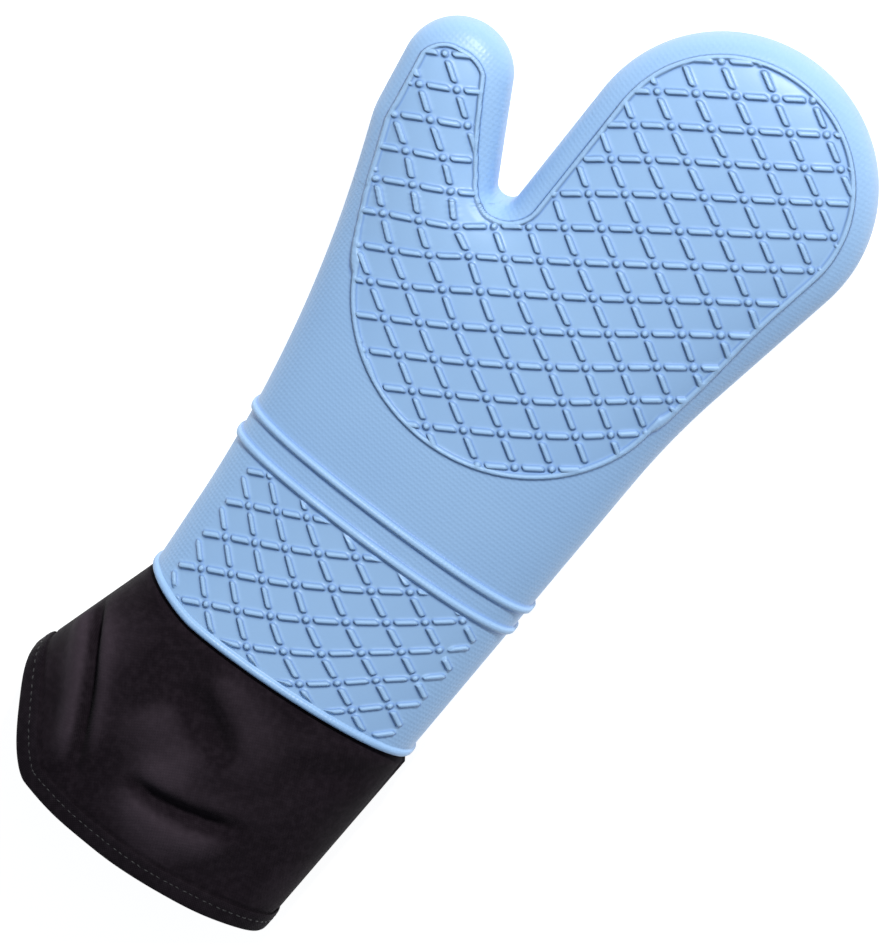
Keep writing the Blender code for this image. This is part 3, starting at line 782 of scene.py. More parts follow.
# ---------------------------------------------------------------- materials
class Graph:
    """A short way to write a material's nodes."""

    def __init__(self, name, colour, roughness):
        self.material = bpy.data.materials.new(name)
        self.material.use_nodes = True
        self.tree = self.material.node_tree
        self.shader = self.tree.nodes["Principled BSDF"]
        self.set("Base Color", (*colour, 1.0))
        self.set("Roughness", roughness)

    def set(self, socket, value):
        self.shader.inputs[socket].default_value = value

    def node(self, kind, settings=None, **inputs):
        made = self.tree.nodes.new(kind)
        for key, value in (settings or {}).items():
            setattr(made, key, value)
        for key, value in inputs.items():
            self.plug(value, made.inputs[key.replace("_", " ")])
        return made

    def plug(self, value, socket):
        if isinstance(value, bpy.types.NodeSocket):
            self.tree.links.new(value, socket)
        else:
            socket.default_value = value

    def math(self, operation, first, second=0.0):
        made = self.tree.nodes.new("ShaderNodeMath")
        made.operation = operation
        for value, socket in zip((first, second), made.inputs):
            self.plug(value, socket)
        return made.outputs[0]

    def attribute(self, name):
        made = self.tree.nodes.new("ShaderNodeAttribute")
        made.attribute_name = name
        return made

    def mix(self, factor, first, second):
        made = self.tree.nodes.new("ShaderNodeMix")
        made.data_type = "RGBA"
        for value, number in ((factor, 0), (first, 6), (second, 7)):
            self.plug((*value, 1.0) if isinstance(value, tuple) else value, made.inputs[number])
        return made.outputs[2]

    def noise(self, scale, detail):
        made = self.tree.nodes.new("ShaderNodeTexNoise")
        made.inputs["Scale"].default_value = scale
        made.inputs["Detail"].default_value = detail
        place = self.tree.nodes.new("ShaderNodeTexCoord")
        self.tree.links.new(place.outputs["Object"], made.inputs["Vector"])
        return made.outputs["Fac"]

    def range(self, value, low, high, start=0.0, end=1.0):
        made = self.tree.nodes.new("ShaderNodeMapRange")
        for item, socket in zip((value, low, high, start, end), made.inputs):
            self.plug(item, socket)
        return made.outputs[0]

    def eased(self, value, low, high):
        made = self.range(value, low, high)
        made.node.interpolation_type = "SMOOTHSTEP"
        return made

    def bump(self, height, distance, strength=1.0, normal=None):
        made = self.tree.nodes.new("ShaderNodeBump")
        made.inputs["Distance"].default_value = distance
        made.inputs["Strength"].default_value = strength
        self.tree.links.new(height, made.inputs["Height"])
        if normal is not None:
            self.tree.links.new(normal, made.inputs["Normal"])
        return made.outputs["Normal"]


SILICONE_COLOUR = (0.300, 0.490, 0.765)
# Painted shade: the deep blue mixed in round the foot of every ridge, where shade falls.
SILICONE_PAINTED_SHADE = (0.030, 0.120, 0.520)
# A paler blue, for the skin's uneven tone and for the painted highlight on the ridge tops.
SILICONE_PALE_TONE_AND_HIGHLIGHT = (0.370, 0.570, 0.820)
DIMPLE_PITCH = 1.7 * MM
DIMPLE_DEPTH = 0.055 * MM
CRISP_HEIGHT = 0.80 * MM
# How far the ridge tops are paled: partly wear, partly painted highlight.
CREST_WEAR_AND_HIGHLIGHT = 0.42
# How strongly that painted shade darkens the ground round each ridge's foot.
CREVICE_PAINTED_SHADE = 0.34


def ridge_ratios(graph, cell):
    """How many half widths each place lies from the nearest dot, and from each family's bars."""
    split = graph.node("ShaderNodeSeparateXYZ", Vector=cell)
    place = (split.outputs[0], split.outputs[1])
    away = [graph.math("SUBTRACT", value, graph.math("ROUND", value)) for value in place]
    between = graph.tree.nodes.new("ShaderNodeCombineXYZ")
    for axis in (0, 1):
        first = graph.math("MULTIPLY", away[0], float(HAND_CELL_A[axis]))
        second = graph.math("MULTIPLY", away[1], float(HAND_CELL_B[axis]))
        graph.plug(graph.math("ADD", first, second), between.inputs[axis])
    length = graph.node("ShaderNodeVectorMath", {"operation": "LENGTH"}, Vector=between.outputs[0])
    ratios = [graph.math("DIVIDE", length.outputs["Value"], DOT_RADIUS)]
    area = abs(float(HAND_CELL_A[0] * HAND_CELL_B[1] - HAND_CELL_A[1] * HAND_CELL_B[0]))
    straight = BAR_HALF_LENGTH - BAR_HALF_WIDTH
    for first, second, along_cell in ((0, 1, HAND_CELL_A), (1, 0, HAND_CELL_B)):
        reach = float(np.hypot(*along_cell))
        half = graph.math("SUBTRACT", graph.math("FRACT", place[first]), 0.5)
        along = graph.math("MULTIPLY", graph.math("ABSOLUTE", half), reach)
        over = graph.math("MAXIMUM", graph.math("SUBTRACT", along, straight), 0.0)
        aside = graph.math("MULTIPLY", away[second], area / reach)
        squares = [graph.math("MULTIPLY", value, value) for value in (over, aside)]
        distance = graph.math("SQRT", graph.math("ADD", *squares))
        ratios.append(graph.math("DIVIDE", distance, BAR_HALF_WIDTH))
    return ratios


def silicone_material():
    graph = Graph("blue_silicone", SILICONE_COLOUR, 0.46)
    ratios = ridge_ratios(graph, graph.attribute("cell").outputs["Vector"])
    shown = graph.node("ShaderNodeSeparateXYZ", Vector=graph.attribute("shown").outputs["Vector"])
    lines = graph.node("ShaderNodeSeparateXYZ", Vector=graph.attribute("lines").outputs["Vector"])
    rib = graph.math("DIVIDE", lines.outputs[0], RIB_HALF_WIDTH)
    band = graph.math("DIVIDE", lines.outputs[1], BAND_HALF_WIDTH)
    either = graph.math("MINIMUM", rib, band)

    def ring(foot, top):
        """1 inside the ridges' top edge, 0 outside their foot."""
        total = graph.eased(either, foot, top)
        for ratio, share in zip(ratios, shown.outputs):
            raised = graph.math("MULTIPLY", graph.eased(ratio, foot, top), share)
            total = graph.math("MAXIMUM", total, raised)
        return total

    crest = ring(1.38, 0.45)
    # Painted shade: a ring just outside each ridge's foot is darkened towards deep blue, all round.
    painted_crevice_shade = graph.math("SUBTRACT", ring(1.90, 1.15), ring(1.16, 0.85))
    painted_crevice_shade = graph.math("MULTIPLY", graph.math("MAXIMUM", painted_crevice_shade, 0.0), CREVICE_PAINTED_SHADE)
    cloudy = graph.math("MULTIPLY", graph.range(graph.noise(22.0, 4.0), 0.3, 0.7), 0.30)
    body = graph.mix(cloudy, SILICONE_COLOUR, SILICONE_PALE_TONE_AND_HIGHLIGHT)
    # Ridge tops paled: partly wear, partly painted highlight.
    body = graph.mix(graph.math("MULTIPLY", crest, CREST_WEAR_AND_HIGHLIGHT), body, SILICONE_PALE_TONE_AND_HIGHLIGHT)
    graph.plug(graph.mix(painted_crevice_shade, body, SILICONE_PAINTED_SHADE), graph.shader.inputs["Base Color"])
    smudge = graph.range(graph.noise(60.0, 5.0), 0.25, 0.75, 0.36, 0.50)
    graph.plug(smudge, graph.shader.inputs["Roughness"])
    graph.set("Specular IOR Level", 0.40)
    dimples = graph.tree.nodes.new("ShaderNodeTexVoronoi")
    dimples.voronoi_dimensions = "2D"
    dimples.inputs["Scale"].default_value = 1.0 / DIMPLE_PITCH
    dimples.inputs["Randomness"].default_value = 0.15
    graph.plug(graph.attribute("place").outputs["Vector"], dimples.inputs["Vector"])
    dots = graph.range(dimples.outputs["Distance"], 0.15, 0.50)
    dots = graph.math("MULTIPLY", dots, lines.outputs[2])
    crisp = graph.bump(crest, CRISP_HEIGHT)
    fine = graph.bump(dots, DIMPLE_DEPTH, 1.0, crisp)
    grain = graph.bump(graph.noise(900.0, 2.0), 0.02 * MM, 1.0, fine)
    graph.plug(grain, graph.shader.inputs["Normal"])
    return graph.material


def cloth_material(name, colour, pale, pitch):
    """Plain woven cotton: two crossing sets of yarns, uneven in colour and height; painted highlight on
    fold crests.
    """
    graph = Graph(name, colour, 0.95)
    place = graph.attribute("place").outputs["Vector"]
    yarns = []
    for turn in (math.radians(45), math.radians(-45)):
        wave = graph.node("ShaderNodeTexWave", {"bands_direction": "X", "wave_profile": "SIN"})
        turned = graph.node("ShaderNodeMapping")
        turned.inputs["Rotation"].default_value = (0.0, 0.0, turn)
        graph.tree.links.new(place, turned.inputs["Vector"])
        graph.tree.links.new(turned.outputs["Vector"], wave.inputs["Vector"])
        wave.inputs["Scale"].default_value = math.pi / (10.0 * pitch)
        wave.inputs["Distortion"].default_value = 0.6
        wave.inputs["Detail"].default_value = 1.0
        wave.inputs["Detail Scale"].default_value = 3.0
        yarns.append(wave.outputs["Fac"])
    weave = graph.math("MULTIPLY", yarns[0], yarns[1])
    lint = graph.range(graph.noise(420.0, 4.0), 0.42, 0.75)
    faded = graph.range(graph.noise(30.0, 4.0), 0.35, 0.75)
    tone = graph.math("MULTIPLY", graph.math("ADD", weave, lint), 0.20)
    tone = graph.math("ADD", tone, graph.math("MULTIPLY", faded, 0.12))
    # Painted highlight: the cloth is paled on the crests of its folds, where light catches them.
    painted_fold_highlight = graph.math("MULTIPLY", graph.attribute("crest").outputs["Fac"], 0.75)
    tone = graph.math("ADD", tone, painted_fold_highlight)
    graph.plug(graph.mix(tone, colour, pale), graph.shader.inputs["Base Color"])
    coarse = graph.bump(weave, 0.10 * MM, 0.9)
    soft = graph.bump(graph.noise(150.0, 3.0), 0.25 * MM, 0.5, coarse)
    graph.plug(soft, graph.shader.inputs["Normal"])
    graph.set("Sheen Weight", 0.03)
    graph.set("Sheen Roughness", 0.45)
    graph.set("Specular IOR Level", 0.10)
    return graph.material


def fluff_material():
    graph = Graph("wadding", (0.78, 0.77, 0.74), 0.95)
    shade = graph.range(graph.noise(120.0, 5.0), 0.3, 0.7)
    colour = graph.mix(shade, (0.70, 0.69, 0.66), (0.84, 0.83, 0.80))
    graph.plug(colour, graph.shader.inputs["Base Color"])
    graph.plug(graph.bump(graph.noise(300.0, 4.0), 0.5 * MM, 0.8), graph.shader.inputs["Normal"])
    graph.set("Sheen Weight", 0.2)
    return graph.material


def thread_material():
    graph = Graph("black_thread", (0.020, 0.017, 0.022), 0.55)
    twist = graph.noise(1400.0, 2.0)
    colour = graph.mix(twist, (0.004, 0.003, 0.004), (0.010, 0.007, 0.010))
    graph.plug(colour, graph.shader.inputs["Base Color"])
    graph.plug(graph.bump(twist, 0.08 * MM, 0.8), graph.shader.inputs["Normal"])
    graph.set("Sheen Weight", 0.15)
    return graph.material


SILICONE = silicone_material()
# Each cloth's dark and pale colours, and the pitch of its yarns; the pale one also gives painted
# highlight on fold crests.
COTTON = cloth_material(
    "black_cotton_cloth", (0.0055, 0.0030, 0.0052), (0.0420, 0.0310, 0.0400), 0.55 * MM
)
BINDING = cloth_material(
    "black_binding_tape", (0.0050, 0.0030, 0.0050), (0.0330, 0.0250, 0.0320), 0.75 * MM
)
QUILTED = cloth_material("charcoal_lining", (0.014, 0.012, 0.015), (0.045, 0.040, 0.046), 0.45 * MM)
WADDING = fluff_material()
THREAD = thread_material()


# ---------------------------------------------------------------- silicone shell
SHELL_STEP = 0.70 * MM
SHELL_FINGER_COLUMNS = 140
SHELL_THUMB_COLUMNS = 70
SHELL_EDGE = 20
LIP_ROWS = (0.0, 0.08, 0.25, 0.5, 0.85, 1.25, 1.7, 2.15, 2.55, 2.85, 3.05, 3.4)


def rows_between(start, end, step, columns, edge):
    """Curved rows from one height to another; their droop fades as they leave the cuff."""
    count = max(1, int(abs(end[1] - start[1]) / step))
    rows = []
    for k in range(1, count + 1):
        left_y = mix(start[0], end[0], k / count)
        right_y = mix(start[1], end[1], k / count)
        fade = 1.0 - smoothstep((left_y - SHELL_END[0]) / DROOP_FADE)
        rows.append(curved_row(left_y, right_y, SHELL_END[2] * fade, columns, edge))
    return rows


def shell_rows():
    columns = (SHELL_THUMB_COLUMNS, SHELL_FINGER_COLUMNS)
    left_y, right_y, depth = SHELL_END
    rows = [curved_row(left_y + y * MM, right_y + y * MM, depth, columns, SHELL_EDGE) for y in LIP_ROWS]
    start = (left_y + LIP_ROWS[-1] * MM, right_y + LIP_ROWS[-1] * MM)
    return rows + rows_between(start, FORK_START, SHELL_STEP, columns, SHELL_EDGE)


# The inside of the shell takes one row in so many, and another share of them by the crotch.
INSIDE_STEP = 8
CROTCH_STEP = 2
ROWS_BELOW_CROTCH = 31
ROWS_ABOVE_CROTCH = 26


def build_shell(material):
    columns = (SHELL_FINGER_COLUMNS, SHELL_THUMB_COLUMNS)
    skin = Skin(shell_rows(), *columns, SHELL_STEP, SHELL_EDGE, SHELL_TIP_ROWS)
    base = skin.positions()
    base_normals = skin.facing()
    height, cell, shown, lines = relief(skin.plan, skin.across(base))
    outer = base + base_normals * height[:, None]
    inner = base - base_normals * SHELL_THICKNESS
    count = len(base)
    points = np.vstack((outer, inner))

    def thinned(name):
        """Few rows for the plain inside of the shell, and more of them by the crotch."""
        rows = len(skin.grids[name][0])
        below, above = (rows - ROWS_BELOW_CROTCH, rows), (0, ROWS_ABOVE_CROTCH)
        close = range(*(below if name == "palm" else above), CROTCH_STEP)
        return sorted(set(range(0, rows, INSIDE_STEP)) | set(close) | {rows - 1})

    def lip():
        """Joins the outside to the inside round the open end."""
        front, back = (grid[0] for grid in skin.grids["palm"])
        ring = np.concatenate((front, back[-2:0:-1]))
        after = np.roll(ring, -1)
        return np.stack((after, ring, ring + count, after + count), axis=1)

    pieces = {
        "silicone_hand": [skin.faces("palm"), skin.faces("fingers"), lip()],
        "silicone_thumb": [skin.faces("thumb")],
    }
    for region in ("palm", "fingers", "thumb"):
        name = "silicone_thumb" if region == "thumb" else "silicone_hand"
        pieces[name].append(skin.faces(region, thinned(region))[:, ::-1] + count)
    normals = point_normals(points, np.vstack([q for quads in pieces.values() for q in quads]))
    cells = np.vstack((cell, cell))
    shown = np.vstack((shown, np.zeros((count, 3))))
    lines = np.vstack((lines, np.ones((count, 3))))
    places = np.column_stack((skin.across(base), skin.plan[:, 1], np.zeros(count)))
    places = np.vstack((places, places))
    built = {}
    for name, quads in pieces.items():
        attributes = {"cell": cells, "shown": shown, "lines": lines, "place": places}
        built[name] = make_object(name, points, np.vstack(quads), material, normals, attributes)
    return built


shell = build_shell(SILICONE)

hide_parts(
    "silicone_shell_palm", "silicone_fold_fingers", "silicone_shell_fingers"
)
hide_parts("silicone_fold_thumb", "silicone_shell_thumb")


# ---------------------------------------------------------------- the liner
LINER_THUMB_COLUMNS = 44
LINER_FINGER_COLUMNS = 84
LINER_EDGE = 10
LINER_STEP = 1.8 * MM
CUFF_STEP_ROWS = 46
CUFF_PROUD = 0.35 * MM
# The wadding starts at this height in the cuff and takes this far to come in full.
FILLING_START = 0.040
FILLING_RISE = 0.044
# Creases pressed into the front of the cuff: start, end, width, depth, the swell beside it, bow.
CUFF_CREASES = (
    ((-0.0640, 0.0580), (-0.0330, 0.0100), 2.1 * MM, 4.6 * MM, 3.2 * MM, 0.03),
    ((-0.0200, 0.0600), (0.0080, 0.0480), 6.0 * MM, 3.8 * MM, 2.0 * MM, 0.02),
    ((-0.0130, 0.0200), (0.0270, 0.0310), 3.4 * MM, 4.2 * MM, 2.2 * MM, -0.06),
    ((0.0560, 0.0790), (0.0300, 0.0600), 5.0 * MM, 1.2 * MM, 0.6 * MM, 0.0),
)


def outline_sides(y):
    """The outline's left and right place at each height of the cuff or forearm."""
    line = BELT.line
    half = int(np.argmax(line[:, 1]))
    right = line[:half]
    left = line[half:][::-1]
    low_left = left[left[:, 1] < 0.20]
    low_right = right[right[:, 1] < 0.20]
    return np.interp(y, low_left[:, 1], low_left[:, 0]), np.interp(y, low_right[:, 1], low_right[:, 0])


def at_share(share, y):
    left, right = outline_sides(y)
    return np.column_stack((mix(left, right, share), y))


def share_of(points):
    left, right = outline_sides(points[:, 1])
    return np.clip((points[:, 0] - left) / (right - left), 0.0, 1.0)


def raised(plan):
    """The front of the smooth skin over points of the plan."""
    return np.column_stack((plan, MID_HEIGHT + FULLNESS.depth(plan)))


def cuff_rows(columns, edge):
    """Rows from the mouth to the shell's end; the first run parallel to the mouth, for the hem."""
    row = curved_row(*MOUTH, columns, edge)
    share = share_of(row)
    share[0], share[-1] = 0.0, 1.0
    y = row[:, 1]
    rows = [at_share(share, y)]
    nudge = 0.3 * MM
    for _ in range(HEM_ROWS):
        here = raised(at_share(share, y))
        along = np.gradient(here, axis=0)
        along /= np.linalg.norm(along, axis=1)[:, None]
        inward = raised(at_share(share, y + nudge)) - here
        inward -= along * (inward * along).sum(axis=1)[:, None]
        inward /= np.linalg.norm(inward, axis=1)[:, None]
        moved = here[:, :2] + inward[:, :2] * HEM_STEP
        ends = share[[0, -1]]
        y = moved[:, 1]
        y[[0, -1]] = here[[0, -1], 1] + HEM_STEP
        share = share_of(moved)
        share[[0, -1]] = ends
        share = np.maximum.accumulate(share)
        rows.append(at_share(share, y))
    top = curved_row(*SHELL_END, columns, edge)
    top_share = share_of(top)
    top_share[0], top_share[-1] = 0.0, 1.0
    for k in range(1, CUFF_STEP_ROWS + 1):
        part = k / CUFF_STEP_ROWS
        rows.append(at_share(mix(share, top_share, part), mix(y, top[:, 1], part)))
    return rows


def crease(points, start, end, width, depth, swell, bow):
    """A soft valley from start to end with a swell along its left, as cloth buckles."""
    start = np.array(start)
    span = np.array(end) - start
    length = float(np.hypot(*span))
    heading = span / length
    offset = points - start
    along = offset @ heading / length
    bowed = bow * length * 4.0 * np.clip(along, 0.0, 1.0) * np.clip(1.0 - along, 0.0, 1.0)
    aside = offset @ np.array((-heading[1], heading[0])) - bowed
    ends = smoothstep((along + 0.15) / 0.35) * smoothstep((1.15 - along) / 0.45)
    valley = depth * np.exp(-((aside / width) ** 2))
    ridge = swell * np.exp(-(((aside + 2.4 * width) / (2.2 * width)) ** 2))
    lee = 0.5 * swell * np.exp(-(((aside - 2.2 * width) / (1.8 * width)) ** 2))
    return ends * (ridge + lee - valley)


def cuff_folds(plan, front):
    """How the cloth of the cuff buckles out of its smooth tube."""
    from_end = -above_curve(plan, SHELL_END)
    free = smoothstep((from_end - 1 * MM) / (9 * MM))
    total = np.zeros(len(plan))
    for values in CUFF_CREASES:
        total += crease(plan, *values)
    x, y = plan.T
    slow = np.sin(x * 95.0 + 1.3 + 40.0 * y) * np.sin(y * 70.0 + 0.6) * 0.7 * MM
    slow += np.sin(x * 210.0 - y * 130.0) * 0.22 * MM
    back = np.sin(x * 60.0 + y * 30.0) * 0.25 * MM
    return free * np.where(front, total + slow, back)


def hem_groove(plan, distance):
    """The cloth dips where the binding's edge is sewn down."""
    return -0.45 * MM * np.exp(-(((distance - HEM_WIDTH - 0.6 * MM) / (0.9 * MM)) ** 2))


class Liner:
    """The liner's own skin, with its cloth folds, that each of its layers is offset from."""

    def __init__(self):
        columns = (LINER_THUMB_COLUMNS, LINER_FINGER_COLUMNS)
        rows = cuff_rows(columns, LINER_EDGE)
        self.cuff_count = len(rows)
        rows += rows_between(SHELL_END[:2], FORK_START, LINER_STEP, columns, LINER_EDGE)
        self.skin = Skin(rows, columns[1], columns[0], LINER_STEP, LINER_EDGE, LINER_TIP_ROWS)
        skin = self.skin
        self.names = ("palm", "fingers", "thumb")
        quads = np.vstack([skin.faces(name) for name in self.names])
        base = skin.positions()
        normals = skin.facing()
        from_end = above_curve(skin.plan, SHELL_END)
        self.distance = self.from_mouth(base)
        under = smoothstep((from_end + 2.8 * MM) / (2.6 * MM))
        offset = mix(-CUFF_PROUD, COVER_UNDER_SHELL, under)
        folds = cuff_folds(skin.plan, normals[:, 2] > 0.0) * smoothstep(np.abs(normals[:, 2]) / 0.5)
        folds += hem_groove(skin.plan, self.distance)
        self.cover = base - normals * (offset - folds)[:, None]
        self.cover[:, 2] = soft_floor(self.cover[:, 2], 0.75 * MM)
        self.normals = mix(point_normals(self.cover, quads), normals, under[:, None])
        self.normals /= np.linalg.norm(self.normals, axis=1)[:, None]
        # How far each point stands out on a fold; the cloths' shader paints highlight there.
        self.crest = np.clip(folds / (2.2 * MM), 0.0, 1.0)
        self.full = smoothstep((skin.plan[:, 1] - FILLING_START) / FILLING_RISE)
        self.place = np.column_stack((skin.across(base), skin.plan[:, 1], np.zeros(len(base))))

    def from_mouth(self, base):
        """How far each point lies from the mouth, along its column."""
        found = np.full(len(base), 1.0)
        for grid in self.skin.grids["palm"]:
            steps = np.linalg.norm(np.diff(base[grid], axis=0), axis=2)
            length = np.vstack((np.zeros(grid.shape[1]), np.cumsum(steps, axis=0)))
            found[grid] = length
        return found

    def quilting(self):
        """Diamond quilting: 1 along its sewn lines, 0 in the middle of a diamond."""
        x, y, _ = self.place.T
        first = np.abs(((x + y) / 0.034) % 1.0 - 0.5) * 2.0
        second = np.abs(((x - y) / 0.034) % 1.0 - 0.5) * 2.0
        near = np.maximum(first, second)
        return smoothstep((near - 0.35) / 0.65) ** 2

    def layer_points(self, depth):
        return self.cover - self.normals * np.broadcast_to(depth, self.distance.shape)[:, None]

    def ring(self, row):
        """The points of one palm row, right round the front and the back."""
        front, back = (grid[row] for grid in self.skin.grids["palm"])
        return np.concatenate((front, back[-2:0:-1]))

    def sheet(self, name, regions, outer, inner, first_row, material):
        """A piece between two offset surfaces, joined round the mouth."""
        count = len(self.cover)
        points = np.vstack((outer, inner))
        quads = []
        for region in regions:
            rows = range(first_row if region == "palm" else 0, len(self.skin.grids[region][0]))
            quads.append(self.skin.faces(region, list(rows)))
            quads.append(self.skin.faces(region, list(rows))[:, ::-1] + count)
        if "palm" in regions:
            ring = self.ring(first_row)
            after = np.roll(ring, -1)
            quads.append(np.stack((after, ring, ring + count, after + count), axis=1))
        whole = np.vstack(
            [self.skin.faces(region) for region in self.names]
            + [self.skin.faces(region)[:, ::-1] + count for region in self.names]
        )
        normals = point_normals(points, whole)
        places = np.vstack((self.place, self.place))
        crests = np.concatenate((self.crest, np.zeros(count)))
        attributes = {"place": places, "crest": crests}
        return make_object(name, points, np.vstack(quads), material, normals, attributes)


def build_liner(liner):
    pieces = {}
    quilting = liner.quilting()
    cover_in = liner.layer_points(CLOTH_THICKNESS)
    lining_top = mix(0.1 * MM, 3.4 * MM, liner.full)
    lining_top = lining_top + 0.9 * MM * liner.full * (0.5 - quilting)
    lining_out = liner.layer_points(CLOTH_THICKNESS + lining_top)
    lining_in = liner.layer_points(CLOTH_THICKNESS + lining_top + LINING_THICKNESS)
    batting_out = liner.layer_points(CLOTH_THICKNESS + 0.15 * MM)
    batting_in = liner.layer_points(CLOTH_THICKNESS + np.maximum(lining_top - 0.15 * MM, 0.25 * MM))
    batting_row = liner.cuff_count - 14
    for part, regions in (("hand", ("palm", "fingers")), ("thumb", ("thumb",))):
        pieces[f"liner_cover_{part}"] = liner.sheet(
            f"liner_cover_{part}", regions, liner.cover, cover_in, 0, COTTON
        )
        pieces[f"batting_{part}"] = liner.sheet(
            f"batting_{part}", regions, batting_out, batting_in, batting_row, WADDING
        )
        pieces[f"lining_{part}"] = liner.sheet(
            f"lining_{part}", regions, lining_out, lining_in, 2, QUILTED
        )
    return pieces, lining_in


liner = Liner()
soft, lining_face = build_liner(liner)


# ---------------------------------------------------------------- hem binding, stitches and tapes
RING_STEP = 0.62 * MM
STITCH_PITCH = 2.7 * MM
STITCH_LENGTH = 1.95 * MM
STITCH_RADIUS = 0.30 * MM
# The binding's section: distance from the mouth and depth under the cover's face, in millimetres.
BINDING_SECTION = (
    (7.2, -0.37), (7.3, -0.54), (7.1, -0.70), (6.6, -0.78), (5.6, -0.80),
    (4.9, -0.76), (4.4, -0.66), (3.9, -0.76), (3.0, -0.82), (1.8, -0.84),
    (0.8, -0.82), (0.1, -0.74), (-0.63, -0.32), (-0.93, 0.25), (-0.98, 0.70),
    (-0.83, 1.25), (-0.38, 1.78), (0.8, 1.96), (1.8, 1.98), (3.4, 1.96),
    (4.4, 1.82), (5.4, 1.94), (6.6, 1.88), (7.1, 1.73), (7.2, 1.53),
    (6.8, 1.38), (3.0, 1.38), (0.6, 1.38), (-0.33, 1.00), (-0.43, 0.60),
    (-0.38, 0.15), (0.3, -0.26), (3.0, -0.26), (6.6, -0.26),
)


class MouthRing:
    """The hem's strip of the cover, resampled finely, so that a place on it can be found."""

    def __init__(self, liner):
        rows = [liner.ring(row) for row in range(HEM_ROWS)]
        points = np.array([liner.cover[row] for row in rows])
        normals = np.array([liner.normals[row] for row in rows])
        closed = np.concatenate((points[0], points[0][:1]))
        length = np.concatenate(((0.0,), np.cumsum(np.linalg.norm(np.diff(closed, axis=0), axis=1))))
        self.length = float(length[-1])
        self.count = int(self.length / RING_STEP)
        self.along = np.arange(self.count) * self.length / self.count
        self.points = self.sampled(points, length)
        self.normals = self.sampled(normals, length)
        self.normals /= np.linalg.norm(self.normals, axis=2)[:, :, None]

    def sampled(self, rows, length):
        closed = np.concatenate((rows, rows[:, :1]), axis=1)
        out = np.empty((len(rows), self.count, 3))
        for row in range(len(rows)):
            for axis in range(3):
                out[row, :, axis] = np.interp(self.along, length, closed[row, :, axis])
        return out

    def at(self, distance, depth):
        """The ring of points at a distance from the mouth and a depth under the cover's face."""
        place = distance / HEM_STEP
        low = int(np.clip(math.floor(place), 0, len(self.points) - 2))
        points = mix(self.points[low], self.points[low + 1], place - low)
        normals = mix(self.normals[low], self.normals[low + 1], np.clip(place - low, 0.0, 1.0))
        return points - normals * np.reshape(depth, (-1, 1))


def build_binding(ring):
    puff = 0.16 * MM * np.sin(np.pi * ring.along / STITCH_PITCH) ** 2
    uneven = 0.10 * MM * np.sin(ring.along * 310.0) + 0.08 * MM * np.sin(ring.along * 173.0 + 1.0)
    points = []
    for distance, depth in BINDING_SECTION:
        near = math.exp(-(((distance - 4.4) / 1.6) ** 2))
        lift = puff * near * (-1.0 if depth < 1.0 else 1.0)
        points.append(ring.at(distance * MM, depth * MM + lift + uneven * 0.4))
    points = np.array(points)
    sides, count, _ = points.shape
    number = np.arange(sides * count).reshape(sides, count)
    below = np.roll(number, -1, axis=0)
    quads = np.stack((number, below, np.roll(below, -1, axis=1), np.roll(number, -1, axis=1)), axis=-1)
    places = np.zeros((sides, count, 3))
    places[:, :, 0] = ring.along
    places[:, :, 1] = np.array([pair[0] for pair in BINDING_SECTION])[:, None] * MM
    return make_object(
        "cuff_hem",
        points.reshape(-1, 3),
        quads.reshape(-1, 4),
        BINDING,
        attributes={"place": places.reshape(-1, 3)},
    )


def build_stitches(ring, name, depth):
    """A row of separate stitches, each a short plump thread that dips at both ends."""
    line = ring.at(STITCH_LINE, depth)
    normals = ring.normals[5]
    tangents = np.roll(line, -1, axis=0) - np.roll(line, 1, axis=0)
    tangents /= np.linalg.norm(tangents, axis=1)[:, None]
    total = int(ring.length / STITCH_PITCH)
    sides = 7
    shares = np.array((-1.0, -0.94, -0.78, -0.45, 0.0, 0.45, 0.78, 0.94, 1.0))
    angles = np.arange(sides) * 2.0 * math.pi / sides
    points = []
    quads = []
    for stitch in range(total):
        centre_along = (stitch + 0.5) * ring.length / total
        index = int(centre_along / ring.length * ring.count) % ring.count
        centre, normal, tangent = line[index], normals[index], tangents[index]
        aside = np.cross(tangent, normal)
        slant = 0.12 * math.sin(stitch * 2.1)
        heading = tangent + aside * slant
        base = len(points)
        for share in shares:
            width = STITCH_RADIUS * math.sqrt(max(1.0 - share**2, 0.02))
            sink = -0.22 * MM * share**4 * math.copysign(1.0, -depth)
            middle = centre + heading * share * STITCH_LENGTH / 2 + normal * sink
            for angle in angles:
                points.append(middle + (normal * math.cos(angle) + aside * math.sin(angle)) * width)
        for k in range(len(shares) - 1):
            for side in range(sides):
                turn = (side + 1) % sides
                low = base + k * sides
                quads.append((low + side, low + turn, low + sides + turn, low + sides + side))
    return make_object(name, np.array(points), np.array(quads), THREAD)


TAPE_HALF_COLUMNS = 9
TAPE_FIRST_ROW = 6
TAPE_ROWS_SHORT = 8
TAPE_THICKNESS = 0.45 * MM
TAPE_CLEARANCE = 0.12 * MM


